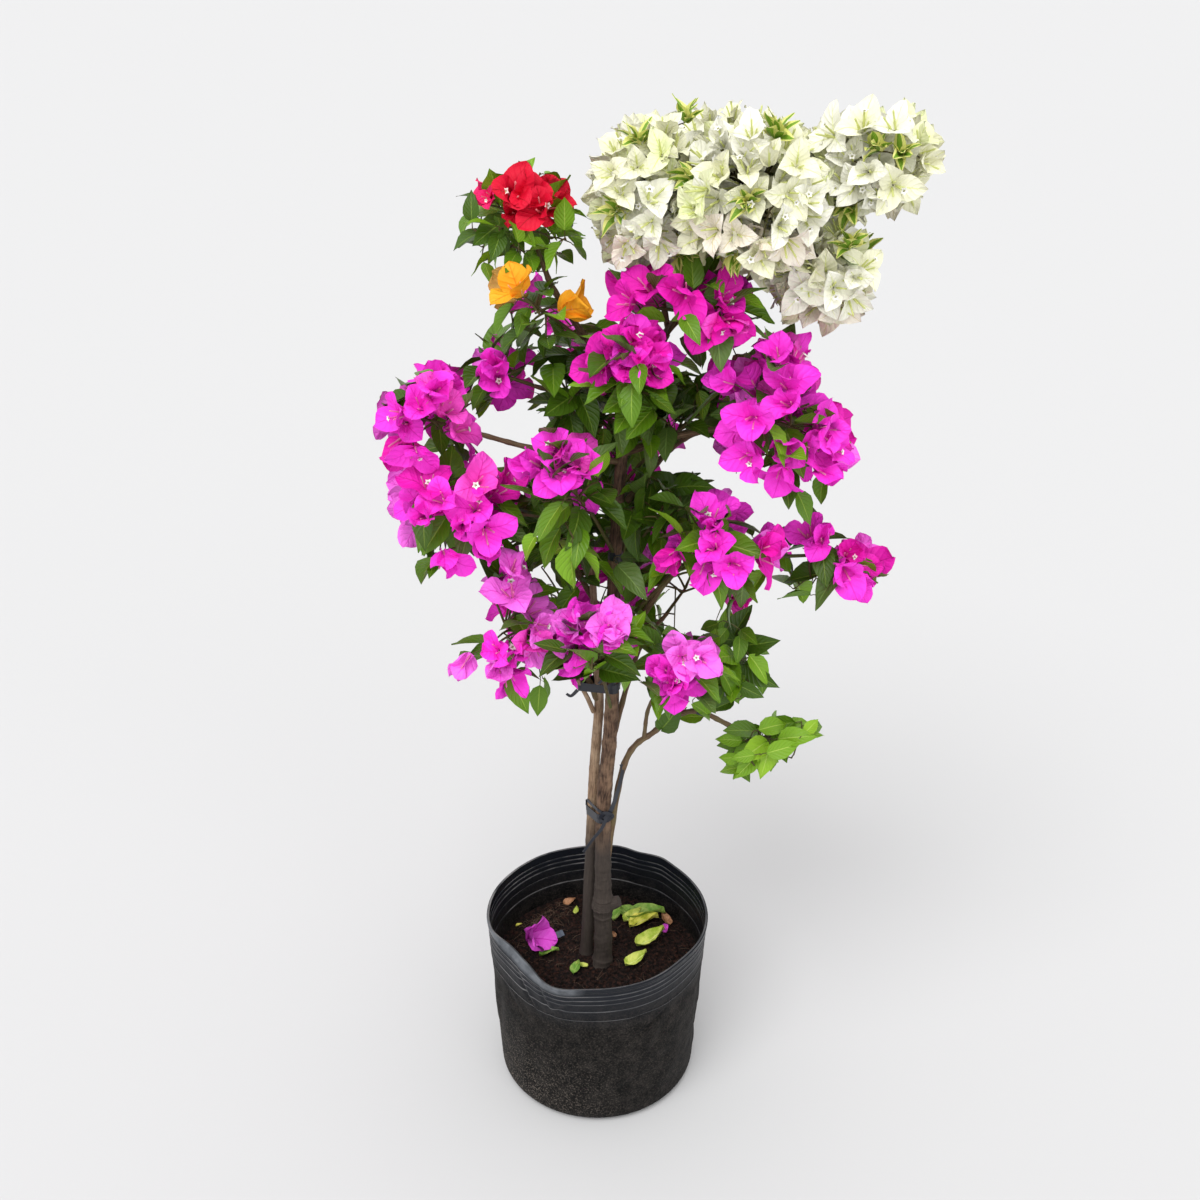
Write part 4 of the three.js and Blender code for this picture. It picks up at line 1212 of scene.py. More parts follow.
def in_box(point):
    return all(a < c < b for c, a, b in zip(point, box_low, box_high))


def in_crown(mass, tip):
    """Whether a leaf's tip keeps to the crown's box and to its outline as seen from the front."""
    if mass.kind == "white" and seen_at(tip)[1] > 1165:
        return False
    places, inset = (white_ovals, 6) if mass.kind == "white" else (crown_ovals, -9)
    return in_box(tip) and within(seen_at(tip), places, inset)


def add_leaf(mass, twig, root, direction, size, roll):
    twig.grown = max(twig.grown, min(1.0, (root - twig.start).length / (twig.end - twig.start).length))
    leaves.append({"mass": mass, "twig": twig, "root": root, "way": direction, "size": size, "roll": roll})


def on_cluster(mass, point):
    """Whether a leaf's middle stands where an open spray has its leaves; other masses have no such rule."""
    return mass.name not in leaf_clusters or within(seen_at(point), leaf_clusters[mass.name])


def disc(middle, facing, radius):
    first, second = spread(facing, 0)
    return [middle, *[middle + radius * between(first, second, k * math.pi / 3) for k in range(6)]]


def grow_mass(mass, number):
    """The twigs, blooms and leaves of the solids: the same draws and the same tests in the same order."""
    draw = seeded(101 + 37 * number)
    growth = kinds[mass.kind]
    for k in range(mass.count):
        way = golden_way(k, mass.count, draw())
        along = 0.95 - 0.8 * ((k + 0.5 * draw()) / mass.count)
        start = mass.stem[1].lerp(mass.stem[2], along)
        turns = [2 * math.pi * draw() for _ in range(5)]
        outward = scaled(way, mass.reach)
        end, here = mass.at + growth["short"] * outward, False
        if way.z > growth["above"]:
            facing = (way + 0.2 * up).normalized()
            for share in bloom_places:
                middle = mass.at + share * outward
                corners = bloom_points(middle, facing, turns[0])
                if twig_fits(number, start, middle) and settle(mass, number, corners, bloom["spacing"]):
                    end, here = middle, True
                    break
        if not here and not twig_fits(number, start, end):
            continue
        flowers = here and blooms_at(mass, end, way) and keeps_open(disc(end, way, 22))
        if flowers:
            end = add_bloom(mass, end, (way + 0.2 * up).normalized(), turns[0], k, 1.04)
        twig = Twig(start, end, k, twig_radius, flowers)
        if flowers or keeps_open([end]):
            mass.twigs.append(twig)
        onward = (end - start).normalized()
        for n, turn in enumerate(turns[1:(growth["leaves"] if here else 3) + 1]):
            for share in leaf_places:
                side = spread(onward, n * golden_angle + turn + 9 * share)[0]
                direction = (side + 0.8 * onward - 0.2 * up).normalized()
                root = start.lerp(end, share - 0.06 * n)
                size = 0.74 + 0.3 * share
                if settle(mass, number, leaf_points(root, direction, size), leaf["spacing"]):
                    blade = [root + direction * leaf["length"] * size * part for part in (0.4, 1.1)]
                    if keeps_open(blade) and in_crown(mass, blade[1]) and on_cluster(mass, blade[0]):
                        add_leaf(mass, twig, root, direction, size, turn)
                    break


# Young leaf tufts stand among the white bracts, here as seen from the front: across and height.
front_tufts = (
    (44, 1274), (92, 1296), (186, 1280), (101, 1236), (26, 1202), (160, 1214),
    (294, 1268), (318, 1262), (271, 1209), (272, 1165), (152, 1160), (90, 1157),
)
tuft_leaves = 10


def tuft_places():
    """The tufts' masses, places and directions, on the near side and over the backs of the white masses."""
    draw, found = seeded(78), []
    for x, z in front_tufts:
        sight = (Vector((x, 0, z)) - front_eye).normalized()
        for away in range(1380, 1800, 4):
            point = front_eye + sight * away
            inside = [mass for mass in masses if mass.kind == "white" and depth_in(mass, point) < 0.92]
            if inside:
                outward = (point - inside[0].at).normalized()
                found.append((inside[0], point, (outward + 0.5 * up).normalized()))
                break
    for mass in masses:
        for k in range(7 if mass.kind == "white" else 0):
            way = golden_way(k, 7, draw())
            end = mass.at + scaled(way, mass.reach) * 0.84
            if way.y > 0 and within(seen_at(end + 20 * way), white_ovals, 12):
                found.append((mass, end, (way + 0.6 * up).normalized()))
    return found


tufts = tuft_places()


def nearest_twig(mass, end, share):
    """The twig point nearest to a new tip, among those further in than a share of the way out."""
    best = None
    for twig in mass.twigs:
        for place in (0.25, 0.45, 0.65, 0.85):
            point = twig.point(place)
            distance = (point - end).length
            nearer = distance > 9 and (best is None or distance < best[0])
            if nearer and depth_in(mass, point) < share - 0.12:
                best = (distance, point, twig, place)
    return best


def any_way(draw):
    return Vector((draw() - 0.5, draw() - 0.5, draw() - 0.5))


# Blooms up to this far from a mass's middle are looked at, and the room kept round a tuft and a leafy tip.
bloom_search, tuft_room, tip_room = 220, 24, 22
# The radius of the disc that a bloom and a leafy tip need in their mass, and of the one that has to stay
# out of the open places.
bloom_disc, tip_disc, open_bloom_disc, open_tip_disc = 17, 6, 28, 4


def grow_finer(mass, number):
    """More blooms and leafy tips, each as far out as fits, on fine twigs from the nearest twig inside."""
    draw = seeded(900 + 53 * number)
    growth = kinds[mass.kind]
    apart = bloom_spacing.get(mass.name, growth["apart"])
    count = sum(1 for one in blooms if one["mass"] is mass)
    near = [one["at"] for one in blooms if (one["at"] - mass.at).length < bloom_search]
    kept_free = [end for _, end, _ in tufts]
    tips = [twig.end for twig in mass.twigs]
    for k in range(growth["tries"]):
        way = golden_way((k * 37) % growth["tries"], growth["tries"], draw())
        nod = any_way(draw)
        spin, size = 2 * math.pi * draw(), 0.86 + 0.26 * draw()
        blooming = way.z > growth["above"] and count < bloom_counts.get(mass.name, growth["blooms"])
        outward = scaled(way, mass.reach)
        facing = (way + 0.25 * up + 0.9 * nod).normalized()
        # Towards the middle of the crown a mass grows on until it meets the next.
        inner = mass.kind == "magenta" and (way.y < 0) == (mass.at.y > 60)
        edge, shares = (1.45, (1.3, 1.15, 1.0)) if inner else outer_growth.get(mass.name, (1.0, ()))
        for share in shares + ((0.92, 0.82, 0.7, 0.57, 0.42) if blooming else (0.84, 0.66, 0.46)):
            end = mass.at + share * outward
            others, room = (near, apart) if blooming else (near + tips, tip_room)
            if any((other - end).length < room for other in others):
                continue
            if any((other - end).length < tuft_room for other in kept_free):
                continue
            if blooming and not blooms_at(mass, end, way):
                continue
            if not keeps_open(disc(end, facing, open_bloom_disc if blooming else open_tip_disc)):
                continue
            corners = np.array(disc(end, facing, bloom_disc if blooming else tip_disc))
            if not in_space(number, corners, 0.0, edge) or not clear_of_limbs(number, corners, 1.0):
                continue
            found = nearest_twig(mass, end, share)
            if found is None:
                continue
            _, start, parent, place = found
            if blooming:
                end = add_bloom(mass, end, facing, spin, parent.spray, size)
                near.append(end)
                count += 1
            else:
                tips.append(end)
            branch_off(mass, parent, place, Twig(start, end, parent.spray, fine_radius, blooming))
            break


# Blooms and leaves up to this far from a mass's middle are looked at, and the room that a new leaf's middle
# and its tip keep from a bloom, and its middle from another leaf's.
leaf_search, bloom_room, bloom_tip_room, leaf_room = 240, 21, 14, 17
# Where a leaf of full size is tested, along its way from the twig: its start, its middle, its end, and its
# end with some room; and the middle of a leaf that stands already.
leaf_start, leaf_middle, leaf_end, roomy_end, standing_middle = 8, 32, 64, 72, 28


def grow_leaves(mass, number):
    """Leaves stand alternately along every twig, turned by the golden angle, and droop a little."""
    draw = seeded(300 + 71 * number)
    growth = kinds[mass.kind]
    flowers = [one["at"] for one in blooms if (one["at"] - mass.at).length < leaf_search]
    flowers = np.array(flowers or [(0, 0, 0)])
    near = [one for one in leaves if (one["root"] - mass.at).length < leaf_search]
    blades = [one["root"] + one["way"] * standing_middle * one["size"] for one in near]
    count = sum(1 for one in leaves if one["mass"] is mass)
    for n, share in enumerate((0.96, 0.78, 0.6, 0.42, 0.88, 0.7, 0.5, 0.3, 0.2, 0.94)):
        for twig in mass.twigs:
            onward = (twig.end - twig.start).normalized()
            side = spread(onward, n * golden_angle + 2 * math.pi * draw())[0]
            size, roll = (0.58 + 0.42 * draw()) * leaf_sizes.get(mass.name, 1), draw() - 0.5
            if count >= leaf_counts.get(mass.name, growth["foliage"]):
                continue
            forward = 1.6 if share > 0.9 and not twig.bears else 0.55
            way = (side + forward * onward - leaf_droop.get(mass.name, 0.28) * up).normalized()
            if mass.name in leaf_clusters:
                way = (way - 0.5 * way.dot(spray_face) * spray_face).normalized()
            root = twig.point(share)
            heart = root + way * leaf_middle * size
            blade = np.array([root + way * leaf_start, heart, root + way * leaf_end * size])
            if np.linalg.norm(flowers - np.array(heart), axis=1).min() < bloom_room:
                continue
            if np.linalg.norm(flowers - blade[2], axis=1).min() < bloom_tip_room:
                continue
            if any((other - heart).length < leaf_room for other in blades):
                continue
            if not in_space(number, blade, -0.12, 1.4 if mass.kind == "magenta" else 1.1):
                continue
            if not clear_of_limbs(number, blade[1:], 1.5) or not keeps_open([heart, Vector(blade[2])]):
                continue
            if not in_crown(mass, root + way * roomy_end * size) or not on_cluster(mass, heart):
                continue
            if not within(seen_at(root), crown_ovals, 5) or within(seen_at(heart), tie_place):
                continue
            add_leaf(mass, twig, root, way, size, roll)
            blades.append(heart)
            count += 1


for number, mass in enumerate(masses):
    grow_mass(mass, number)
for number, mass in enumerate(masses):
    grow_finer(mass, number)
for mass, end, _ in tufts:
    _, start, parent, place = nearest_twig(mass, end, 2.0)
    branch_off(mass, parent, place, Twig(start, end, parent.spray, tuft_radius, True))
for number, mass in enumerate(masses):
    grow_leaves(mass, number)


# Spurs on a bough and on a stem: the share of its length where they begin, their spacing and their reach.
bough_spurs, stem_spurs = (0.0, 22, 12), (0.6, 9, 34)
spur_leaf_room, spur_bloom_room, spur_leaf_end = 16, 20, 68


def grow_spurs():
    """Short leafy spurs stand along the stems and boughs, turned by the golden angle."""
    draw = seeded(4242)
    hearts = [one["root"] + one["way"] * leaf_middle * one["size"] for one in leaves]
    flowers = [one["at"] + 12 * one["facing"] for one in blooms]
    for name, limb in limbs.items():
        first, pitch, reach = bough_spurs if name.startswith("bough") else stem_spurs
        for k in range(round(limb.length * (1 - first) / pitch)):
            share = first + (k + 0.5 * draw()) * pitch / limb.length
            if share > 0.98:
                continue
            root = limb.point(share)
            onward = (limb.point(share + 0.02) - root).normalized()
            side = spread(onward, k * golden_angle + draw())[0]
            way = (side + 0.35 * up).normalized()
            end = root + way * (limb.radius(share) + reach * (0.5 + draw()))
            host = min(range(len(masses)), key=lambda index: depth_in(masses[index], end))
            farthest = 3 if name == "bough_low_right" else 1.25
            if depth_in(masses[host], end) > farthest or not keeps_open([end]):
                continue
            twig = Twig(root, end, k, spur_radius, False)
            for n in range(3 if reach > 20 else 1):
                place = (1, 0.72, 0.45)[n]
                lean = spread(way, n * 2.2 + 6 * draw())[0]
                pointing = (way * (1.0 if n == 0 else 0.3) + lean - 0.25 * up).normalized()
                size, roll = 0.5 + 0.45 * draw(), draw() - 0.5
                leaf_root = twig.point(place)
                heart, tip = (leaf_root + pointing * away * size for away in (leaf_middle, spur_leaf_end))
                if any((other - heart).length < spur_leaf_room for other in hearts):
                    continue
                if any((other - heart).length < spur_bloom_room for other in flowers):
                    continue
                if not keeps_open([heart, tip]) or not in_crown(masses[host], tip):
                    continue
                if not clear_of_limbs(-2, np.array([heart, tip]), 1.0):
                    continue
                add_leaf(masses[host], twig, leaf_root, pointing, size, roll)
                hearts.append(heart)
            if twig.grown:
                masses[host].twigs.append(twig)


grow_spurs()

# ---------------------------------------------------------------------------------------------------------
# The twigs are slim, green-brown and woody at their root. They branch from the stem in the heart of each
# mass, and short spurs stand on the limbs. Each leaf hangs on a thin stalk.
stalk_length, stalk_radius = 8.0, 0.55


def twig_lines():
    """A line for each stem, twig and leaf stalk; a twig is cut back to the last thing it bears."""
    for mass in masses:
        for twig in reversed(mass.twigs):
            if twig.grown and twig.parent:
                twig.parent.grown = max(twig.parent.grown, twig.parted_at)
    lines = [[(point, radius) for point, radius in zip(mass.stem, (2.5, 2.2, 1.6))] for mass in masses]
    for mass in masses:
        for twig in mass.twigs:
            if twig.grown:
                shares = [twig.grown * part for part in (0, 0.25, 0.5, 0.75, 1)]
                lines.append([(twig.point(share), twig.radius * (1 - 0.5 * share)) for share in shares])
    for one in leaves:
        root = one["root"]
        tip = root + one["way"] * stalk_length
        bend = root.lerp(tip, 0.5) + 0.8 * up
        lines.append([(root, stalk_radius * 1.2), (bend, stalk_radius), (tip, stalk_radius)])
    return lines


# The first colour darkens the twigs' grooves, partly with painted shade.
twig_colours = ((0.055, 0.035, 0.014), (0.13, 0.105, 0.035), (0.10, 0.12, 0.03))
twig_bark = bark_finish("green_twig_bark", *twig_colours, 0.6)
twigs_piece = shown(tubes("twigs", twig_lines(), 5, twig_bark))

# ---------------------------------------------------------------------------------------------------------
# The leaves are broad, pointed ovals, folded a little along a paler midrib, dark and slightly glossy when
# old and yellow-green when young. The white graft has narrow young leaves, green with cream margins.
# A blade: the share of its half width at places along it, its mesh's columns and rows, and the material of
# each strip.
leaf_blade = {
    "outline": (
        (0, 0.05), (0.06, 0.52), (0.18, 0.88), (0.36, 1.0),
        (0.56, 0.88), (0.75, 0.56), (0.9, 0.21), (1, 0.015),
    ),
    "columns": (-1, -0.52, -0.05, 0.05, 0.52, 1),
    "rows": (0, 0.1, 0.28, 0.48, 0.68, 0.86, 1),
    "slots": (0, 0, 1, 0, 0),
}


def blade_mesh(name, size, blade, section, materials):
    """A thin blade along +Y: section gives its points, and the middle column is its rib."""
    points, uv, faces, picks = [], [], [], []
    (length, width), count = size, len(blade["columns"])
    places, widths = zip(*blade["outline"])
    for along in blade["rows"]:
        half = width / 2 * float(np.interp(along, places, widths))
        for across in blade["columns"]:
            points.append(section(along, across, half, length))
            uv.append((across, along))
    for row in range(len(blade["rows"]) - 1):
        for column in range(count - 1):
            corner = row * count + column
            faces.append((corner, corner + 1, corner + count + 1, corner + count))
            picks.append(blade["slots"][column])
    return mesh_object(name, points, faces, materials, picks, uv)


def vein_bump(tree, surface, pairs, strength, distance, crinkle):
    """Side veins that run forward from the midrib, and a fine crinkle between them."""
    place = step(tree, "ShaderNodeUVMap", {"uv_map": "blade"}).outputs["UV"]
    axes = step(tree, "ShaderNodeSeparateXYZ", Vector=place)
    across = maths(tree, "MULTIPLY", maths(tree, "ABSOLUTE", axes.outputs["X"]), 0.34 * pairs)
    wave = maths(tree, "SUBTRACT", maths(tree, "MULTIPLY", axes.outputs["Y"], float(pairs)), across)
    wave = maths(tree, "SINE", maths(tree, "MULTIPLY", wave, math.pi))
    ridge = maths(tree, "POWER", maths(tree, "ABSOLUTE", wave), 6.0)
    rough = maths(tree, "MULTIPLY", grain(tree, place, 7.0, 4), crinkle)
    coat(tree, surface, None, maths(tree, "ADD", ridge, rough), strength, distance)


def leaf_finish(name, colour, roughness=0.42):
    material, tree, surface = new_finish(name, colour, roughness, 0.36)
    vein_bump(tree, surface, 7, 0.5, 0.0008, 0.8)
    return material


leaf_breadth = 0.88
leaf_shades = {
    "deep": ((0.050, 0.112, 0.004), (0.15, 0.24, 0.026)),
    "dull": ((0.090, 0.158, 0.028), (0.17, 0.27, 0.06)),
    "mid": ((0.100, 0.215, 0.006), (0.23, 0.36, 0.036)),
    "fresh": ((0.175, 0.350, 0.010), (0.33, 0.50, 0.06)),
    "young": ((0.270, 0.480, 0.022), (0.42, 0.60, 0.09)),
}
# The fold and the droop of a flat, a drooping and a cupped leaf.
leaf_bends = ((5, 9), (8, 20), (12, 4))
young_size = (34, 18.5)
young_blade = {**leaf_blade, "columns": (-1, -0.46, -0.06, 0.06, 0.46, 1), "slots": (0, 1, 1, 1, 0)}


def leaf_section(fold, droop, phase):
    """A folded blade whose tip hangs down and whose edges wave."""

    def place(along, across, half, length):
        wave = 1.6 * abs(across) * math.sin(7 * along + phase + (1.4 if across > 0 else 0))
        y = length * (along - 0.04 * droop / 20 * along**2)
        z = fold * abs(across) * math.sin(math.pi * min(1, along + 0.15)) - droop * along**2.2 + wave
        return across * half, y, z

    return place


def leaf_forms():
    """Three bends of a leaf in each green, then three bends of the cream-edged young leaf."""
    forms = []
    size = (leaf["length"], leaf_breadth * leaf["width"])
    for shade, (blade, rib) in leaf_shades.items():
        finishes = (leaf_finish(f"{shade}_leaf", blade), leaf_finish(f"{shade}_leaf_rib", rib, 0.5))
        for fold, droop in leaf_bends:
            section = leaf_section(fold, droop, len(forms))
            forms.append(blade_mesh(f"leaf_{len(forms):02d}", size, leaf_blade, section, finishes))
    finishes = (leaf_finish("cream_leaf_margin", (0.82, 0.81, 0.26)),
                leaf_finish("green_leaf_heart", (0.20, 0.37, 0.03)))
    for fold, droop in leaf_bends:
        section = leaf_section(0.5 * fold, 0.4 * droop, len(forms))
        forms.append(blade_mesh(f"leaf_{len(forms):02d}", young_size, young_blade, section, finishes))
    return forms


# How the greens are dealt out in each kind of growth, by spray.
leaf_deals = {
    "magenta": ("mid", "deep", "mid", "dull", "deep", "fresh", "mid"),
    "white": ("deep", "mid", "deep"),
    "red": ("fresh", "mid", "fresh", "mid", "deep"),
    "orange": ("mid", "deep", "fresh", "dull"),
    "leafy": ("deep", "mid", "deep", "mid", "dull", "fresh", "deep"),
}
bright_sprays = {
    "green_spray": ("fresh", "mid", "young", "fresh"), "green_low_right": ("mid", "deep", "fresh", "deep"),
}


def facing_turn(x_axis, y_axis, z_axis):
    return Matrix((x_axis, y_axis, z_axis)).transposed().to_quaternion()


def leaf_turn(way, roll, towards=up):
    side = way.cross(towards).normalized()
    face = side.cross(way)
    tilt = Matrix.Rotation(0.9 * roll, 3, way)
    return facing_turn(tilt @ side, way, tilt @ face)


def place_leaves():
    draw = seeded(77)
    shades = list(leaf_shades)
    foliage = Scatter("leaves", leaf_forms())
    for number, one in enumerate(leaves):
        mass, roll = one["mass"], one["roll"]
        # The solids' leaves carry up to a whole turn as their roll, which is more than a blade rolls.
        roll = math.sin(roll) if abs(roll) > 0.5 else roll
        deal = bright_sprays.get(mass.name, leaf_deals[mass.kind])
        shade = shades.index(deal[(one["twig"].spray + (1 if draw() < 0.25 else 0)) % len(deal)])
        turn = leaf_turn(one["way"], roll, spray_face if mass.name in leaf_clusters else up)
        place = one["root"] + one["way"] * (stalk_length - 0.5)
        foliage.put(place, turn, one["size"] * 0.98, 3 * shade + number % 3)
    for _, end, axis in tufts:
        for k in range(tuft_leaves):
            side = spread(axis, k * golden_angle)[0]
            pointing = (axis + (0.2 + 0.10 * k) * side + 0.8 * any_way(draw)).normalized()
            turn = leaf_turn(pointing, 1.6 * (draw() - 0.5))
            foliage.put(end + side * 1.2, turn, 0.56 + 0.38 * draw(), 3 * len(shades) + k % 3)
    return foliage.joined()


leaves_piece = shown(place_leaves())
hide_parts(*[mass.name for mass in masses if mass.kind == "leafy"])

# ---------------------------------------------------------------------------------------------------------
# A bloom has three papery bracts round three slim tubes, each tube joined to a bract's rib and ending in a
# bud or in a small star. Each colour is a graft of its own, and its shades are dealt out by spray.
blunt_bract = {
    "outline": (
        (0, 0.12), (0.08, 0.50), (0.22, 0.84), (0.42, 1.0),
        (0.62, 0.95), (0.8, 0.70), (0.92, 0.38), (1, 0.06),
    ),
    "columns": (-1, -0.72, -0.38, -0.04, 0.04, 0.38, 0.72, 1),
    "rows": (0, 0.09, 0.22, 0.36, 0.51, 0.66, 0.8, 0.91, 1),
    "slots": (0, 0, 0, 1, 0, 0, 0),
}
pointed_outline = (
    (0, 0.10), (0.08, 0.46), (0.22, 0.84), (0.38, 1.0), (0.58, 0.88), (0.78, 0.52), (0.91, 0.22), (1, 0.02),
)
pointed_bract = {**leaf_blade, "outline": pointed_outline}
# Each colour: a bract's size and ruffle, its blade and rib in each shade, and how the shades and the
# openings are dealt out.
bract_kinds = {
    "magenta": {
        "blade": blunt_bract, "size": (38.5, 33), "ruffle": 3.4,
        "shades": {
            "vivid": ((0.95, 0.045, 0.71), (0.78, 0.020, 0.53)),
            "deep": ((0.80, 0.012, 0.46), (0.58, 0.006, 0.30)),
            # The pale shade is partly a lighter pink and partly painted light: the glow and highlights of
            # the thin bracts.
            "pale": ((0.98, 0.175, 0.84), (0.86, 0.080, 0.67)),
            "rosy": ((0.92, 0.075, 0.60), (0.76, 0.030, 0.42)),
        },
        "deal": (0, 2, 0, 3, 0, 1, 2, 0), "opening": (1, 0, 2, 1, 3, 0, 2),
    },
    "white": {
        "blade": pointed_bract, "size": (31.5, 25), "ruffle": 1.6,
        "shades": {
            "cream": ((0.885, 0.875, 0.66), (0.78, 0.82, 0.38)),
            "greenish": ((0.85, 0.88, 0.56), (0.70, 0.78, 0.28)),
            "pure": ((0.91, 0.90, 0.78), (0.82, 0.85, 0.52)),
            "blush": ((0.91, 0.84, 0.72), (0.78, 0.68, 0.42)),
        },
        "deal": (0, 2, 0, 1, 2, 0), "opening": (0, 3, 0, 1, 3, 0),
    },
    "red": {
        "blade": blunt_bract, "size": (36, 31), "ruffle": 3.0,
        "shades": {
            "crimson": ((0.66, 0.002, 0.03), (0.44, 0.001, 0.012)),
            "rose": ((0.86, 0.012, 0.15), (0.60, 0.005, 0.07)),
            "scarlet": ((0.84, 0.060, 0.022), (0.6, 0.025, 0.010)),
        },
        "deal": (0, 1, 0, 0, 1), "opening": (1, 0, 2, 1),
    },
    "orange": {
        "blade": blunt_bract, "size": (43, 40), "ruffle": 3.0,
        "shades": {
            "apricot": ((0.97, 0.56, 0.15), (0.88, 0.38, 0.06)),
            "amber": ((0.96, 0.42, 0.02), (0.82, 0.27, 0.01)),
        },
        "deal": (0, 1, 0), "opening": (1, 0, 1),
    },
}
# The magenta near the top of the main stem is deeper and redder than the rest, and low down it is paler:
# the pale shade is partly a lighter pink and partly a painted glow of light through the thin bracts.
mass_deals = {
    **dict.fromkeys(("magenta_top", "magenta_front_high"), (1, 3, 1, 0, 1)),
    **dict.fromkeys(("magenta_low_front", "magenta_low_left", "magenta_low_right"), (2, 0, 2, 2, 3, 2)),
}
# How a bract rises from the bloom's face, in degrees: at its root and at its tip.
openings = ((66, 12), (78, 42), (84, 78), (56, -14))


def bract_section(rise_root, rise_tip, ruffle, phase):
    """A cupped blade that leaves the bloom upright and bends outward; its edges ruffle."""
    count = 40
    rises = [math.radians(rise_root + (rise_tip - rise_root) * (k + 0.5) / count) for k in range(count)]
    outs = np.concatenate(([0], np.cumsum(np.cos(rises)) / count))
    lifts = np.concatenate(([0], np.cumsum(np.sin(rises)) / count))

    def place(along, across, half, length):
        rise = math.radians(rise_root + (rise_tip - rise_root) * along)
        y = length * float(np.interp(along, np.linspace(0, 1, count + 1), outs)) + 1.2
        z = length * float(np.interp(along, np.linspace(0, 1, count + 1), lifts))
        cup = 0.24 * half * across**2 * (1.3 - along)
        cup += ruffle * abs(across) * math.sin(8.5 * along + phase + (2.1 if across > 0 else 0))
        buckle = noise.noise(Vector((2.2 * across, 4.2 * along, 2.3 * phase)))
        cup += 0.075 * length * min(1, 2.5 * along) * buckle
        return across * half, y - cup * math.sin(rise), z + cup * math.cos(rise)

    return place


def bract_finish(name, colour):
    material, tree, surface = new_finish(name, colour, 0.6, 0.25)
    vein_bump(tree, surface, 5, 0.55, 0.0009, 1.4)
    return material


def bract_forms(kind):
    """Each opening of a bract in each shade of its colour."""
    look = bract_kinds[kind]
    forms = []
    for shade, (blade, rib) in look["shades"].items():
        finishes = (bract_finish(f"{kind}_{shade}_bract", blade), bract_finish(f"{kind}_{shade}_rib", rib))
        for root, tip in openings:
            section = bract_section(root, tip, look["ruffle"], 1.7 * len(forms))
            name = f"bract_{len(forms):02d}"
            forms.append(blade_mesh(name, look["size"], look["blade"], section, finishes))
    return forms


def place_bracts(kind):
    draw = seeded(500 + len(kind))
    look = bract_kinds[kind]
    bracts = Scatter(f"{kind}_bracts", bract_forms(kind))
    for number, one in enumerate(blooms):
        mass, middle, facing = one["mass"], one["at"], one["facing"]
        if mass.kind != kind:
            continue
        deal = mass_deals.get(mass.name, look["deal"])
        shade = deal[(one["spray"] + (1 if draw() < 0.3 else 0)) % len(deal)]
        # The lower white blooms blush.
        if kind == "white" and middle.z < mass.at.z - 0.35 * mass.reach.z and draw() < 0.4:
            shade = 3
        opening = look["opening"][number % len(look["opening"])]
        first, second = spread(facing, one["spin"])
        for k in range(3):
            turn = 2 * math.pi * k / 3 + 0.24 * (draw() - 0.5)
            outward = between(first, second, turn)
            side = outward.cross(facing)
            tip = Matrix.Rotation(0.4 * (draw() - 0.5), 3, side)
            size = one["size"] * (0.92 + 0.16 * draw())
            form = 4 * shade + (opening if draw() < 0.6 else int(4 * draw()))
            bracts.put(middle, facing_turn(side, tip @ outward, tip @ facing), size, form)
    return bracts.joined()


for kind in bract_kinds:
    bracts_piece = shown(place_bracts(kind))
    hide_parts(*[mass.name for mass in masses if mass.kind == kind])

# The tubes are pink or orange on the coloured grafts and yellow-green on the white one, each with a star
# or a bud.
tube_sizes = {"length": 19, "radius": 0.95, "star": 4.4, "sides": 5}


def tube_mesh(name, opened, finishes):
    """A slim ribbed tube along +Z, waisted in its middle, that ends in a five-pointed star or a bud."""
    sides, length, radius = tube_sizes["sides"], tube_sizes["length"], tube_sizes["radius"]
    rows = ((0, 1.0), (0.3, 1.5), (0.62, 0.95), (1.0, 1.35 if opened else 1.15))
    turns = [2 * math.pi * k / sides for k in range(sides)]
    points = [round_place(turn, radius * wide, length * along) for along, wide in rows for turn in turns]
    faces = []
    for low in range(0, (len(rows) - 1) * sides, sides):
        for k in range(sides):
            after, high = low + (k + 1) % sides, low + sides
            faces.append((low + k, after, after + sides, high + k))
    slots = [0] * len(faces)
    last = (len(rows) - 1) * sides
    if not opened:
        points.append((0, 0, length * 1.12))
        faces += [(last + k, last + (k + 1) % sides, len(points) - 1) for k in range(sides)]
        return mesh_object(name, points, faces, finishes, slots + [0] * sides)
    for k in range(2 * sides):
        reach = tube_sizes["star"] * (1 if k % 2 == 0 else 0.62)
        points.append(round_place(math.pi * k / sides, reach, length + 0.8))
    rim = last + sides
    for k in range(sides):
        here, after = last + k, last + (k + 1) % sides
        faces += [(here, after, rim + 2 * k + 1), (here, rim + 2 * k + 1, rim + 2 * k),
                  (after, rim + (2 * k + 2) % (2 * sides), rim + 2 * k + 1)]
        slots += [1] * 3
    points.append((0, 0, length - 0.4))
    faces += [(last + k, last + (k + 1) % sides, len(points) - 1) for k in range(sides)]
    return mesh_object(name, points, faces, finishes, slots + [2] * sides)


tube_shades = {
    "magenta": (0.72, 0.22, 0.42), "white": (0.62, 0.66, 0.24),
    "red": (0.70, 0.20, 0.22), "orange": (0.80, 0.42, 0.20),
}


def tube_forms():
    """A bud and then an open flower in each colour."""
    forms = []
    star = new_finish("white_star", (0.88, 0.87, 0.80), 0.6)[0]
    throat = new_finish("star_throat", (0.62, 0.60, 0.22), 0.7)[0]
    for kind, shade in tube_shades.items():
        finish, tree, surface = new_finish(f"{kind}_flower_tube", shade, 0.6, 0.3)
        coat(tree, surface, None, grain(tree, object_place(tree), 900), 0.4, 0.0005)
        for opened in (0, 1):
            forms.append(tube_mesh(f"tube_{len(forms)}", opened, (finish, star, throat)))
    return forms


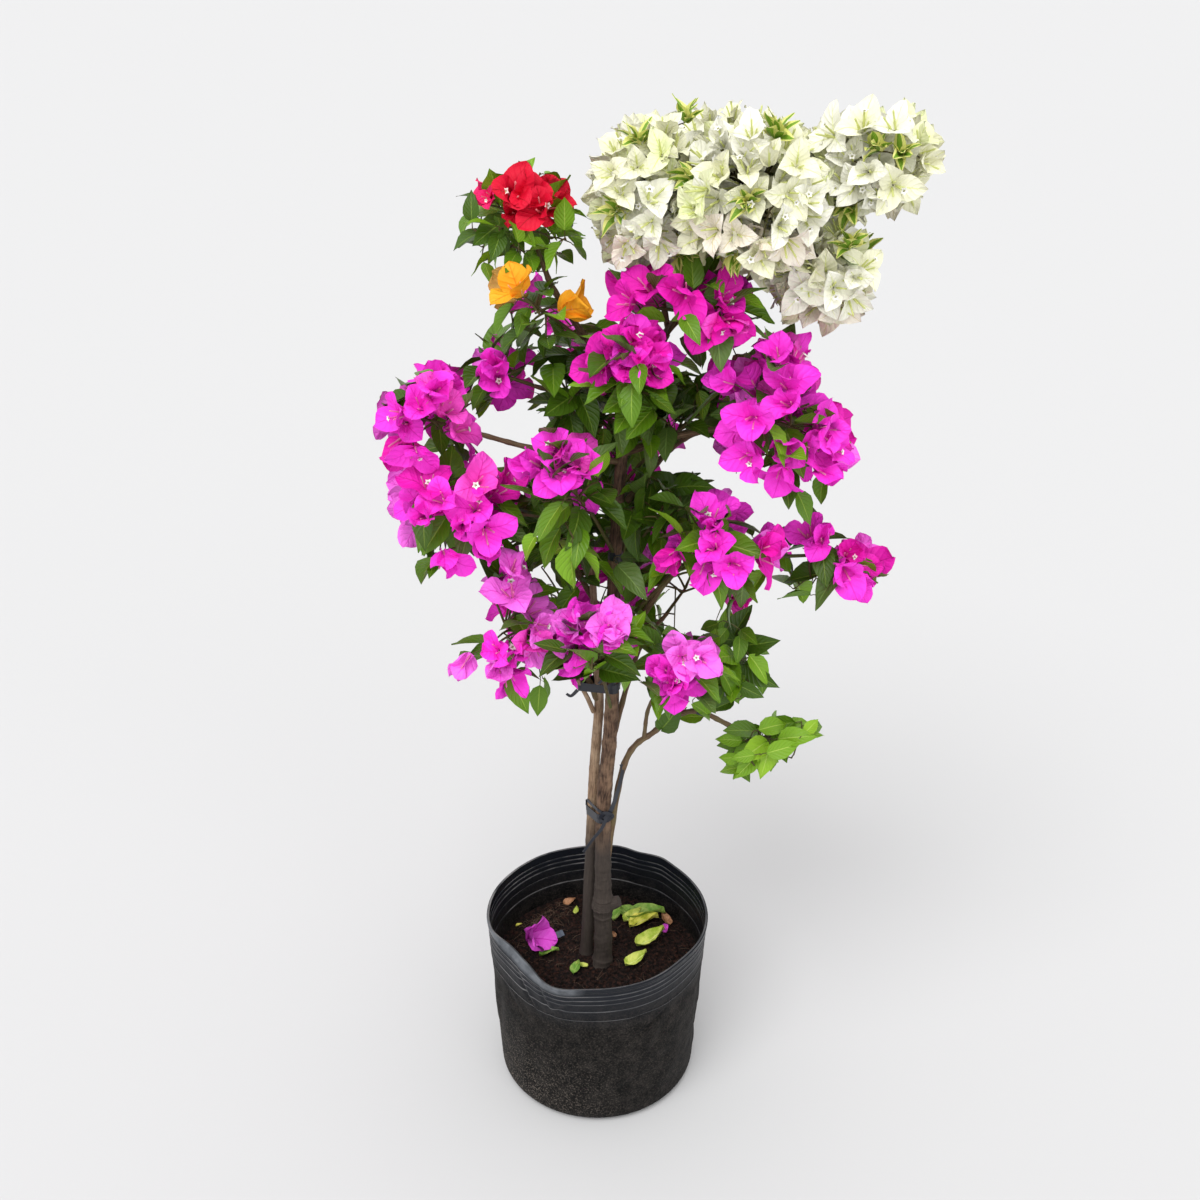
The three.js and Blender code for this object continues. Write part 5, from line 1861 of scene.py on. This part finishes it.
def place_flowers():
    draw = seeded(61)
    colours = list(tube_shades)
    flowers = Scatter("flower_tubes", tube_forms())
    for one in blooms:
        first, second = spread(one["facing"], one["spin"])
        opened = int(1.7 * draw())
        for k in range(3):
            turn = 2 * math.pi * k / 3
            outward = between(first, second, turn)
            lean = 0.16 + 0.2 * draw()
            pointing = (one["facing"] + lean * outward).normalized()
            side = pointing.cross(outward).normalized()
            place = one["at"] + 2.6 * outward + 1.5 * one["facing"]
            size = one["size"] * (0.85 + 0.25 * draw())
            form = 2 * colours.index(one["mass"].kind) + (1 if k < opened else 0)
            flowers.put(place, facing_turn(side.cross(pointing), side, pointing), size, form)
    return flowers.joined()


shown(place_flowers())

# ---------------------------------------------------------------------------------------------------------
# Fallen leaves, a whole bloom, a single bract and a scrap of film lie loose on the mix. Some of the leaves
# are still green, and the others have yellowed or dried and curled.
litter_shades = (
    ("green_fallen_leaf", (0.14, 0.30, 0.035), (0.30, 0.44, 0.09), (0.36, 0.52, 0.12)),
    ("lime_fallen_leaf", (0.33, 0.45, 0.04), (0.62, 0.67, 0.15), (0.66, 0.72, 0.26)),
    ("yellow_fallen_leaf", (0.50, 0.52, 0.05), (0.84, 0.79, 0.15), (0.86, 0.80, 0.34)),
    ("dry_fallen_leaf", (0.28, 0.13, 0.06), (0.56, 0.30, 0.16), (0.36, 0.18, 0.08)),
)
# Each leaf: shade, middle, heading and tilt in degrees, size beside a common leaf.
litter = (
    (0, -66, 1, 20, 9, 0.50), (0, 80, 94, 2, 16, 0.98), (0, 42, 94, 150, 8, 0.62),
    (1, 52, 80, 35, 12, 0.55), (2, 68, 68, 24, 10, 0.78), (3, 105, 88, 120, 20, 0.44),
    (1, 79, 25, 22, 20, 0.80), (1, 56, -15, 30, 14, 0.62), (0, -28, -31, 70, 16, 0.40),
    (1, -22, -27, 170, 12, 0.30), (2, -127, 82, 30, 6, 0.17), (1, -30, 98, 80, 12, 0.24),
    (3, -40, 118, 20, 12, 0.34), (3, 22, 40, 130, 8, 0.24), (0, 30, 88, 60, 16, 0.45),
)
# How far out a fallen leaf may lie: the reach less the margin times its size.
litter_reach, litter_margin = 139, 29
fallen_bloom, fallen_bract, fallen_bract_size = (-98, 24), (94, 53, 40), (44, 42)
fallen_blade = {
    "outline": leaf_blade["outline"],
    "columns": (-1, -0.8, -0.55, -0.3, -0.05, 0.05, 0.3, 0.55, 0.8, 1),
    "rows": tuple(k / 14 for k in range(15)),
    "slots": (0, 0, 0, 0, 1, 0, 0, 0, 0),
}


def fallen_section(droop, phase):
    """A curled and crumpled blade with its edges rolled up."""

    def place(along, across, half, length):
        rolled = 9 * across**2 + 3.2 * noise.noise(Vector((2.0 * across, 4.5 * along, phase)))
        return 0.92 * across * half, 0.94 * length * along, rolled - droop * (along - 0.4) ** 2 + 1.5

    return place


def mottled_leaf_finish(name, dull, bright):
    """A fading leaf: its green goes in patches."""
    material, tree, surface = new_finish(name, bright, 0.6, 0.3)
    share = ramp(tree, grain(tree, object_place(tree), 75, 4), ((0.40, 0.0), (0.58, 1.0)))
    coat(tree, surface, blend(tree, share, dull, bright))
    vein_bump(tree, surface, 7, 0.6, 0.0009, 1.4)
    return material


def lying(x, y, heading, tilt):
    """A turn that lays a blade on the mix, its tip towards a heading in degrees and raised by a tilt."""
    way = Vector(round_place(math.radians(heading), 1, math.tan(math.radians(tilt))))
    return leaf_turn(way.normalized(), 0.3 * math.sin(x + y))


def fallen_forms():
    """A curled leaf in each fading colour, and last a fallen bract."""
    forms, size = [], (leaf["length"], leaf["width"])
    for k, (name, dull, bright, rib) in enumerate(litter_shades):
        finishes = (mottled_leaf_finish(name, dull, bright), leaf_finish(name + "_rib", rib, 0.55))
        section = fallen_section(20 - 34 * (k % 2), 2.3 * k)
        forms.append(blade_mesh(f"fallen_{k}", size, fallen_blade, section, finishes))
    finishes = (bract_finish("fallen_bract", (0.68, 0.080, 0.60)),
                bract_finish("fallen_bract_rib", (0.52, 0.03, 0.42)))
    section = bract_section(74, 40, 5.0, 0.6)
    forms.append(blade_mesh(f"fallen_{len(forms)}", fallen_bract_size, blunt_bract, section, finishes))
    return forms


def place_litter():
    forms = fallen_forms()
    fallen, bract = Scatter("fallen_leaves", forms), len(forms) - 1
    for shade, x, y, heading, tilt, size in litter:
        inward = min(1.0, (litter_reach - litter_margin * size) / math.hypot(x, y))
        x, y = x * inward, y * inward
        way = Vector(round_place(math.radians(heading), 1, 0))
        root = Vector((x, y, 0)) - way * 30 * size
        heights = [mix_height(*(root + way * 62 * size * part).xy) for part in (0, 0.25, 0.5, 0.75, 1)]
        fallen.put(Vector((root.x, root.y, max(heights) + 0.5)), lying(x, y, heading, tilt), size, shade)
    axis = Vector((0.75, -0.42, 0.5)).normalized()
    middle = Vector((*fallen_bloom, mix_height(*fallen_bloom) + 15))
    for k in range(3):
        outward = spread(axis, 1.1 + 2 * math.pi * k / 3)[0]
        fallen.put(middle, facing_turn(outward.cross(axis), outward, axis), 0.98, bract)
    x, y, heading = fallen_bract
    fallen.put(Vector((x, y, mix_height(x, y) + 1)), lying(x, y, heading, 5), 0.3, bract)
    return fallen.joined()


shown(place_litter())
scrap = []
for k in range(7):
    x, y = -66 + 3 * k, 40 + k
    scrap.append((Vector((x, y, mix_height(x, y) + 2 + math.sin(k))), up, 13, 0.3))
scrap_film = new_finish("grey_film_scrap", (0.10, 0.12, 0.16), 0.4)[0]
shown(strip_mesh("film_scrap", [scrap], scrap_film))

# ---------------------------------------------------------------------------------------------------------
# The ground and a plain pale surrounding are only there to show the plant. Soft light comes from all sides,
# and two broad distant lamps stand in front, one high and one low.
floor_size = 60.0
ground = bpy.data.meshes.new("ground")
half = floor_size / 2
corners = [(-half, -half, 0), (half, -half, 0), (half, half, 0), (-half, half, 0)]
ground.from_pydata(corners, [], [(0, 1, 2, 3)])
ground.materials.append(new_finish("pale_ground", (0.60, 0.60, 0.604), 0.9, 0.1)[0])
floor = bpy.data.objects.new("ground", ground)
bpy.context.scene.collection.objects.link(floor)

world = bpy.data.worlds.new("studio")
world.use_nodes = True
world.node_tree.nodes["Background"].inputs["Color"].default_value = (1, 1, 1, 1)
world.node_tree.nodes["Background"].inputs["Strength"].default_value = 0.95
bpy.context.scene.world = world


def lamp(name, energy, angle, elevation, azimuth):
    """A broad distant lamp; azimuth 0 shines from the front."""
    light = bpy.data.lights.new(name, "SUN")
    light.energy, light.angle = energy, math.radians(angle)
    item = bpy.data.objects.new(name, light)
    item.rotation_euler = (math.radians(90 - elevation), 0, math.radians(azimuth))
    bpy.context.scene.collection.objects.link(item)


lamp("key_light", 1.6, 35, 58, -28)
lamp("front_light", 0.6, 60, 25, 20)

# The camera stands at eye height and looks down at the plant.
camera = bpy.data.cameras.new("camera")
camera.sensor_width, camera.lens = 36.0, 43.68
viewer = bpy.data.objects.new("camera", camera)
viewer.location = front_eye * MM
viewer.rotation_euler = (math.radians(90 - 27.8), 0, 0)
bpy.context.scene.collection.objects.link(viewer)
bpy.context.scene.camera = viewer
bpy.context.scene.view_settings.view_transform = "Standard"
